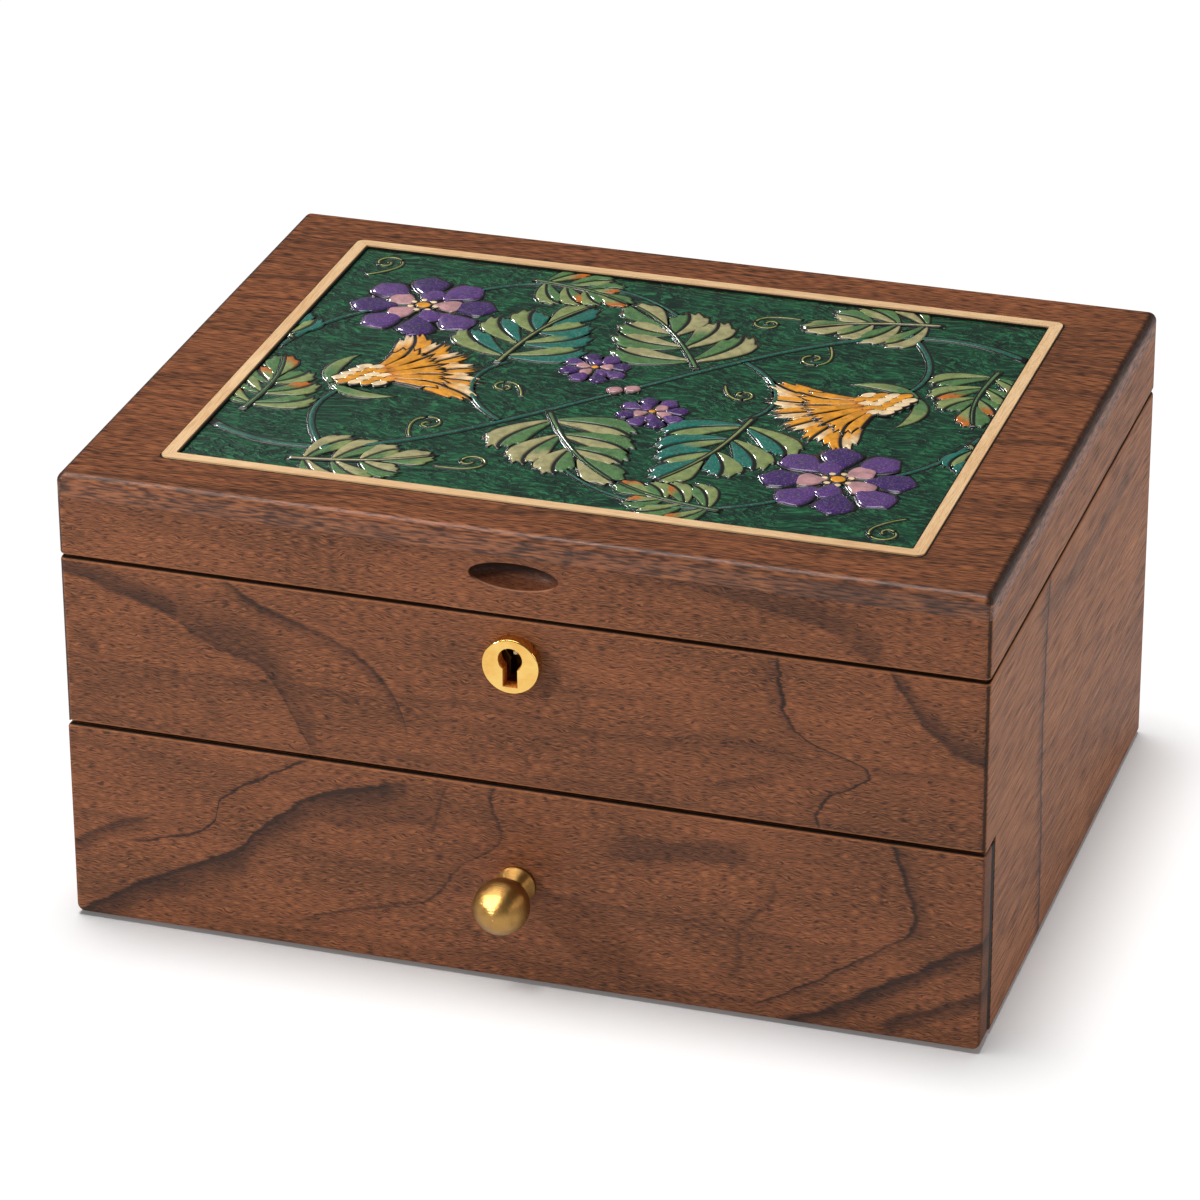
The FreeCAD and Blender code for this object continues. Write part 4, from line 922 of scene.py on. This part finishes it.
class Relief:
    # gathers motifs in one mesh and the dark lines round them in another
    def __init__(self):
        self.colour, self.line = bmesh.new(), bmesh.new()
        self.scratch = bpy.data.meshes.new("scratch")

    def patch(self, whole, place, crown, top, tints, rows, columns, square):
        # one closed piece: place turns its two coordinates into a point of the panel
        shape = bmesh.new()
        tint = shape.verts.layers.float_color.new("tint")
        shape.loops.layers.uv.new("patch")
        bmesh.ops.create_grid(shape, x_segments=rows, y_segments=columns, size=1, calc_uvs=True)
        first, second, change = tints
        first, second = tone(enamels[first]), tone(enamels[second])
        for vertex in shape.verts:
            u, v = (vertex.co.x + 1) / 2, vertex.co.y
            x, y = place(u, v)
            edge = (1 - abs(v) ** square) ** 0.5 * (1 - max(0, 2 * u - 1) ** (square * 2)) ** 0.5
            edge *= (1 - max(0, 1 - 2 * u) ** (square * 3)) ** 0.5
            vertex.co = (x, y, top + crown * edge)
            share = min(1, max(0, (u - change) * 4 + 0.5))
            vertex[tint] = [a + (b - a) * share for a, b in zip(first, second)]
        extrudeTo(shape, relief["ground"] - relief["sunk"])
        shape.to_mesh(self.scratch)
        shape.free()
        whole.from_mesh(self.scratch)

    def blade(self, points, width, crown, tints, level, profile, rows, teeth=0, bite=0.0, blunt=0,
              square=2.0, ahead=1.0):
        # A shape along a curve, parted lengthwise in as many strips as there are tints, with a dark
        # line between one and the next. A tint is a first colour, a second and where they change.
        knots = [Vector((x, y, 0)) for x, y in points]
        way = mathutils.geometry.interpolate_bezier(*knots, 33)
        length = sum((after - before).length for before, after in zip(way, way[1:]))
        top = relief["ground"] + level * relief["layer"]

        def spot(u, v, grow, inset=0.0):
            reach = (1 - blunt * v * v) * (1 - bite * tooth(v * teeth / 2 + 0.5))
            along = u * reach * 32 * (1 + grow * ahead / length)
            index = min(31, int(along))
            step = way[index + 1] - way[index]
            point = way[index] + step * (along - index)
            half = width / 2 * profile(min(1, along / 32)) + grow
            return (point + Vector((-step.y, step.x, 0)).normalized() * (half * v + inset)).xy

        strips = len(tints)
        for strip, tint in enumerate(tints):
            low, high = strip * 2 / strips - 1, (strip + 1) * 2 / strips - 1

            def place(u, v):
                inset = 0 if (low if v < 0 else high) in (-1, 1) else -relief["gap"] / 2 * v
                return spot(u, low + (high - low) * (v + 1) / 2, 0, inset)
            columns = max(8, math.ceil(teeth / strips) * 4)
            self.patch(self.colour, place, crown, top, tint, rows, columns, square)
        self.patch(self.line, lambda u, v: spot(u, v, relief["lineWidth"]), 0,
                   top + relief["lineHeight"], ("vine", "vine", 1), rows, max(8, teeth * 4), square)

    def leaf(self, x, y, heading, size, tints, tips, curl):
        # three pairs of toothed lobes along a bent rib, and one at its end
        way, bend, root = turning(heading), turning(28 * curl), Vector((x, y))
        rib = (root, root + way @ Vector((0.35 * size, 0)),
               root + way @ (Vector((0.62 * size, 0)) + bend @ Vector((0.04 * size, 0))),
               root + way @ (Vector((0.62 * size, 0)) + bend @ Vector((0.38 * size, 0))))
        knots = mathutils.geometry.interpolate_bezier(*(Vector((*point, 0)) for point in rib), 33)
        for number, length in enumerate((0.46, 0.42, 0.33)):
            place = 4 + number * 6
            start = knots[place].xy
            ahead = (knots[place + 1] - knots[place]).xy.normalized()
            reach = size * length
            for side in (-1, 1):
                out = turning(side * (72 - 10 * number)) @ ahead
                far = start + turning(side * (50 - 8 * number)) @ ahead * reach
                first, second = tints[:: side]
                tip = tips if (number + (side > 0)) % 2 else first
                self.blade((start, start + out * reach * 0.4, far - ahead * reach * 0.3, far),
                           size * 0.27, relief["leafCrown"],
                           [(first, tip, 0.6), (second, second, 1)][:: side], 0, **outlines["lobe"])
        start, far = knots[20].xy, knots[32].xy
        ahead = (knots[32] - knots[20]).xy * 0.4
        first, second = tints
        self.blade((start, start + ahead, far - ahead * 0.6, far + ahead * 0.2), size * 0.3,
                   relief["leafCrown"], [(first, tips, 0.7), (second, second, 1)], 0, **outlines["tip"])
        self.blade(rib, 1.3, 0.3, [(second, second, 1)], 1.3, **outlines["rib"])

    def stem(self, points, width):
        self.blade(points, width, 0.34, [("vine", "vine", 1)], 0, **outlines["stem"])

    def curl(self, x, y, heading, size, hand):
        # a tendril: three arcs that wind inwards
        loops = [((0, 0), (0.5, 0.05), (0.95, 0.2), (0.92, 0.55)),
                 ((0.92, 0.55), (0.88, 0.9), (0.35, 0.85), (0.42, 0.5)),
                 ((0.42, 0.5), (0.48, 0.3), (0.72, 0.38), (0.66, 0.56))]
        place = turning(heading)
        for loop in loops:
            self.blade([Vector((x, y)) + place @ Vector((a * size, b * size * hand)) for a, b in loop],
                       0.66, 0.3, [("tendril", "tendril", 1)], 0, **outlines["tendril"])

    def dome(self, x, y, heading, length, width, tint, level, crown=relief["petalCrown"]):
        # a rounded petal or scale
        way = turning(heading) @ Vector((length / 2, 0))
        middle = Vector((x, y))
        points = [middle - way, middle - way * 0.33, middle + way * 0.33, middle + way]
        self.blade(points, width, crown, [(tint, tint, 1)], level, **outlines["dome"])

    def flower(self, x, y, size, turn):
        # two rings of domed petals round a golden heart
        middle = Vector((x, y))
        rings = ((8, 0.3, 1, 0.56, ("violet", "plum"), 0),
                 (5, 0.1, 0.56, 0.42, ("mauve", "plum", "mauve"), 1))
        for count, near, far, width, tints, level in rings:
            for number in range(count):
                out = turning(turn + number * 360 / count) @ Vector((size, 0))
                side = Vector((-out.y, out.x)) * 0.05
                tint = tints[number % len(tints)]
                self.blade((middle + out * near, middle + out * (near * 0.6 + far * 0.4) + side,
                            middle + out * (near * 0.3 + far * 0.7) + side, middle + out * far),
                           width * size, relief["petalCrown"] - 0.2 * level, [(tint, tint, 1)], level,
                           **outlines["petal"])
        self.dome(x, y, turn, 0.2 * size, 0.2 * size, "gold", 2.4, 0.4)
        for number in range(7 if size > 15 else 0):
            around = Matrix.Rotation(math.tau * number / 7, 2) @ Vector((0.17 * size, 0))
            self.dome(x + around.x, y + around.y, 0, 0.09 * size, 0.09 * size, "cream", 2.2, 0.3)

    def carnation(self, x, y, heading, size):
        # jagged golden petals in two layers over a cup of scales
        place = turning(heading)

        def at(a, b):
            return Vector((x, y)) + place @ Vector((a * size, b * size))
        for share in (-1, 1, -0.6, 0.6, -0.2, 0.2):
            self.blade((at(0, share * 0.1), at(0.3, share * 0.24), at(0.6, share * 0.42),
                        at(0.98 - 0.34 * share * share, share * 0.86)), size * 0.36, 0.42,
                       [("amber", "gold", 0.45), ("gold", "cream", 0.8)], 0, **outlines["outerRay"])
        for share in (-0.8, 0.8, -0.4, 0.4, 0):
            self.blade((at(-0.02, share * 0.08), at(0.2, share * 0.2), at(0.42, share * 0.34),
                        at(0.68 - 0.26 * share * share, share * 0.62)), size * 0.29, 0.4,
                       [("amber", "gold", 0.35), ("amber", "gold", 0.3)], 1.6, **outlines["innerRay"])
        for side in (-1, 1):
            self.blade((at(-0.4, 0), at(-0.42, side * 0.22), at(-0.24, side * 0.42), at(0.02, side * 0.5)),
                       size * 0.15, 0.4, [("moss", "olive", 0.5)], 0, **outlines["sepal"])
        for row, count in enumerate((4, 5, 4, 3, 2)):
            for number in range(count):
                self.dome(*at(0.06 - row * 0.095, (number - (count - 1) / 2) * 0.1), heading, size * 0.16,
                          size * 0.11, ("gold", "cream")[(row + number) % 2], 2.2 + row * 0.25, 0.3)


# Half of the design; the other half is the same turned by half a turn

halfDesign = {
    # four points and the width
    "stem": [(((-119, -60), (-72, -92), (-36, -40), (0, 0)), 2.6),
             (((-119, 0), (-112, 30), (-100, 40), (-84, 48)), 2.0),
             (((-74, -74), (-92, -52), (-94, -36), (-86, -22)), 2.0),
             (((-30, -34), (-50, -20), (-54, 0), (-42, 12)), 1.8),
             (((-84, 48), (-62, 84), (-24, 90), (2, 60)), 1.8)],
    # x, y, heading, size, the two sides' colours, the tips' colour, which way it bends
    "leaf": [(-112, -50, 82, 46, ("olive", "moss"), "amber", 1),
             (-86, -80, 8, 48, ("moss", "paleOlive"), "olive", 1),
             (-46, 8, 84, 58, ("teal", "olive"), "teal", -1),
             (-18, -22, -62, 60, ("paleOlive", "moss"), "paleOlive", 1),
             (-116, 8, 128, 34, ("teal", "olive"), "amber", -1),
             (-56, 78, -6, 40, ("olive", "moss"), "amber", -1)],
    # x, y, size, turn
    "flower": [(-84, 46, 25, 8), (-14, 14, 12, 20)],
    # x, y, heading, size
    "carnation": [(-80, -12, 38, 36)],
    # x, y, heading, length, width, colour, level
    "dome": [(-2.6, -1.2, 25, 5.6, 5, "mauve", 1.4)],
    # x, y, heading, size, hand
    "curl": [(-112, 66, 30, 16, 1), (-54, -54, 120, 15, -1), (-40, -72, -10, 15, 1), (-30, -14, 100, 12, 1)],
}


def everything(shape):
    return [*shape.verts, *shape.edges, *shape.faces]


def makeRelief():
    work = Relief()
    for kind, motifs in halfDesign.items():
        for motif in motifs:
            getattr(work, kind)(*motif)
    width, depth, ground, low = (relief[key] for key in ("halfWidth", "halfDepth", "ground", "underside"))
    for shape in (work.colour, work.line):
        twin = bmesh.ops.duplicate(shape, geom=everything(shape))["geom"]
        bmesh.ops.rotate(shape, verts=verticesOf(twin), matrix=Matrix.Rotation(math.pi, 3, "Z"))
        for x, y in ((1, 0), (-1, 0), (0, 1), (0, -1)):
            cut = bmesh.ops.bisect_plane(shape, geom=everything(shape), plane_co=(x * width, y * depth, 0),
                                         plane_no=(x, y, 0), clear_outer=True)["geom_cut"]
            bmesh.ops.holes_fill(shape, edges=[part for part in cut if isinstance(part, bmesh.types.BMEdge)])
        bmesh.ops.scale(shape, verts=shape.verts, vec=(mm, mm, mm))
        bmesh.ops.recalc_face_normals(shape, faces=shape.faces)
        for face in shape.faces:
            face.smooth = True
    plate = block((2 * width, 2 * depth, ground - low), (0, 0, (low + ground) / 2 * mm), mm)
    panel = [asObject(work.colour, "reliefColour"), asObject(work.line, "reliefLines"),
             asObject(plate, "reliefGround")]
    for made, paint in zip(panel, (enamel(), blackEnamel(), greenEnamel())):
        made.data.materials.append(paint)
        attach(made, "lid")
    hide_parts("decorative_panel")
    return panel


glaze = {"Specular_IOR_Level": 0.05, "Coat_Weight": 0.9, "Coat_Roughness": 0.04}


def enamel():
    paint = Paint("enamel")
    paint.colour = paint.node("Attribute", {"attribute_name": "tint"}, {}, "Color")
    patch = paint.axes(paint.node("UVMap", {"uv_map": "patch"}, {}))
    cloud = paint.noise(0.34, 3, 0.6)
    grit = paint.noise(1.9, 3, 0.7)
    paint.cover(cloud.step(0.35, 0.7) * 0.35, "#0c2a22")
    paint.cover(grit.step(0.5, 0.68) * 0.14, "#efe6c0")
    # darker towards each strip's long edges
    across = abs(patch[1] - 0.5) * 2
    paint.cover(across.step(0.7, 0.98) * 0.6, "#0c1c14")
    return paint.finish(0.3 + grit * 0.16, Normal=paint.bump(grit * 0.3 + cloud, 0.5, 0.0004), **glaze)


def blackEnamel():
    return Paint("black enamel", "#0c0a08").finish(0.3, Coat_Weight=0.5, Coat_Roughness=0.1)


def greenEnamel():
    paint = Paint("green enamel")
    flow = paint.noise(0.03, 2, 0.5)
    x, y, z = paint.axes()
    streak = paint.noise(1, 3, 0.65, 0.6, at=(x / 6 + flow * 8, y / 1.5 + x / 7 + flow * 16, 0))
    cloud = paint.noise(0.09, 3, 0.6)
    ripple = paint.noise(1, 2, 0.6, 0.4, at=(x / 3.4 + flow * 6, y / 1.5 + x / 9 + flow * 12, 0))
    paint.colour = paint.ramp(cloud, [(0.3, "#061c17"), (0.5, "#0a2e22"), (0.7, "#12482f")])
    paint.cover(streak.step(0.48, 0.7) * 0.5, "#2f8254")
    paint.cover(ripple.step(0.54, 0.66) * 0.35, "#3b8f5e")
    paint.cover(streak.step(0.45, 0.3) * 0.5, "#051210")
    bump = paint.bump(streak * 0.3 + cloud + ripple.step(0.46, 0.62) * 1.3, 0.8, 0.0004)
    return paint.finish(0.4, Normal=bump, **glaze)


print("relief")
panel = makeRelief()


# Camera: fitted to the eight corners of the box in the photograph

camera = {
    "azimuth": 17.68,
    "elevation": 26.18,
    "roll": -0.26,
    "distance": 1.82174,
    "right": -0.00781,
    "up": 0.0027,
    "centre": (0, 0, 0.0786),
    "lens": 167.07,
    "sensor": 36,
    "nearest": 0.05,
    "farthest": 50,
}


def makeCamera():
    data = bpy.data.cameras.new("camera")
    data.lens, data.sensor_width = camera["lens"], camera["sensor"]
    data.clip_start, data.clip_end = camera["nearest"], camera["farthest"]
    eye = bpy.data.objects.new("camera", data)
    bpy.context.scene.collection.objects.link(eye)
    az, el = math.radians(camera["azimuth"]), math.radians(camera["elevation"])
    back = Vector((math.sin(az) * math.cos(el), -math.cos(az) * math.cos(el), math.sin(el)))
    right = Vector((math.cos(az), math.sin(az), 0))
    up = back.cross(right)
    eye.location = (Vector(camera["centre"]) + back * camera["distance"] + right * camera["right"]
                    + up * camera["up"])
    level = Matrix((right, up, back)).transposed()
    eye.rotation_euler = (level @ Matrix.Rotation(math.radians(camera["roll"]), 3, "Z")).to_euler()
    bpy.context.scene.camera = eye


suns = {
    # soft light from above: one for the box, one for the floor under it
    "sun": {"tilt": (2, -10), "angle": 40, "strength": 2.1},
    "floorSun": {"tilt": (-2, -4), "angle": 19, "strength": 3.0},
}
lights = {
    # name: place, aims at, width, height, watts, colour
    "front": ((-0.95, -0.72, 0.6), (0, 0, 0.08), 0.16, 0.16, 10, "#fffaf4"),
    "side": ((2.0, -0.05, 0.75), (0, 0, 0.06), 0.8, 0.8, 12, "#fff2e8"),
    "edge": ((-0.8, -0.6, 1.1), (0, 0, 0.15), 0.4, 0.12, 3, "#ffe6d4"),
    "spark": ((-0.85, 1.0, 0.9), (0, 0, 0.15), 0.14, 0.14, 7, "#ffffff"),
    "knob": ((-0.4, -0.9, 0.55), (0, -0.13, 0.04), 0.1, 0.1, 30, "#fffaf2"),
}
room = {
    "worldColour": "#ffffff",
    "worldStrength": 0.1,
    "floorColour": "#f0f0f0",
    "floorGlow": 0.13,
    "floorSize": 8.0,
    "floorDrop": 0.05,
}


def makeFloor():
    shape = bmesh.new()
    bmesh.ops.create_grid(shape, x_segments=1, y_segments=1, size=room["floorSize"])
    bmesh.ops.translate(shape, verts=shape.verts, vec=(0, 0, -room["floorDrop"] * mm))
    floor = asObject(shape, "floor")
    floor.data.materials.append(Paint("floor", room["floorColour"]).finish(
        0.7, Specular_IOR_Level=0.1, Emission_Color="#ffffff", Emission_Strength=room["floorGlow"]))
    return floor


def only(name, state, *things):
    # what a lamp lights, or what throws shadows in it
    chosen = bpy.data.collections.new(name)
    for thing in things:
        chosen.objects.link(thing)
    for item in chosen.collection_objects:
        item.light_linking.link_state = state
    return chosen


def lampAt(name, kind, receivers, **settings):
    data = bpy.data.lights.new(name, kind)
    for key, value in settings.items():
        setattr(data, key, value)
    lamp = bpy.data.objects.new(name, data)
    bpy.context.scene.collection.objects.link(lamp)
    lamp.light_linking.receiver_collection = receivers
    return lamp


def makeRoom():
    floor = makeFloor()
    knob = nodes["drawer_knob"]
    box = only("box", "EXCLUDE", floor)
    lit = {"knob": only("knob", "INCLUDE", knob), "spark": only("panel", "INCLUDE", *panel),
           "floorSun": only("ground", "INCLUDE", floor)}
    for name, (place, target, width, height, watts, colour) in lights.items():
        lamp = lampAt(name, "AREA", lit.get(name, box), shape="RECTANGLE", size=width, size_y=height,
                      energy=watts, color=tone(colour)[:3])
        lamp.location = place
        lamp.rotation_euler = (Vector(target) - Vector(place)).to_track_quat("-Z", "Y").to_euler()
    for name, look in suns.items():
        lamp = lampAt(name, "SUN", lit.get(name, box), energy=look["strength"],
                      angle=math.radians(look["angle"]))
        lamp.rotation_euler = [math.radians(turn) for turn in (*look["tilt"], 0)]
        if name == "floorSun":
            # in which the knob throws no shadow
            lamp.light_linking.blocker_collection = only("shades", "EXCLUDE", knob)
    world = bpy.data.worlds.new("room")
    bpy.context.scene.world = world
    world.use_nodes = True
    sky = world.node_tree.nodes["Background"]
    sky.inputs["Color"].default_value = tone(room["worldColour"])
    sky.inputs["Strength"].default_value = room["worldStrength"]
    bpy.context.scene.view_settings.view_transform = "Standard"


print("camera and room")
makeCamera()
makeRoom()
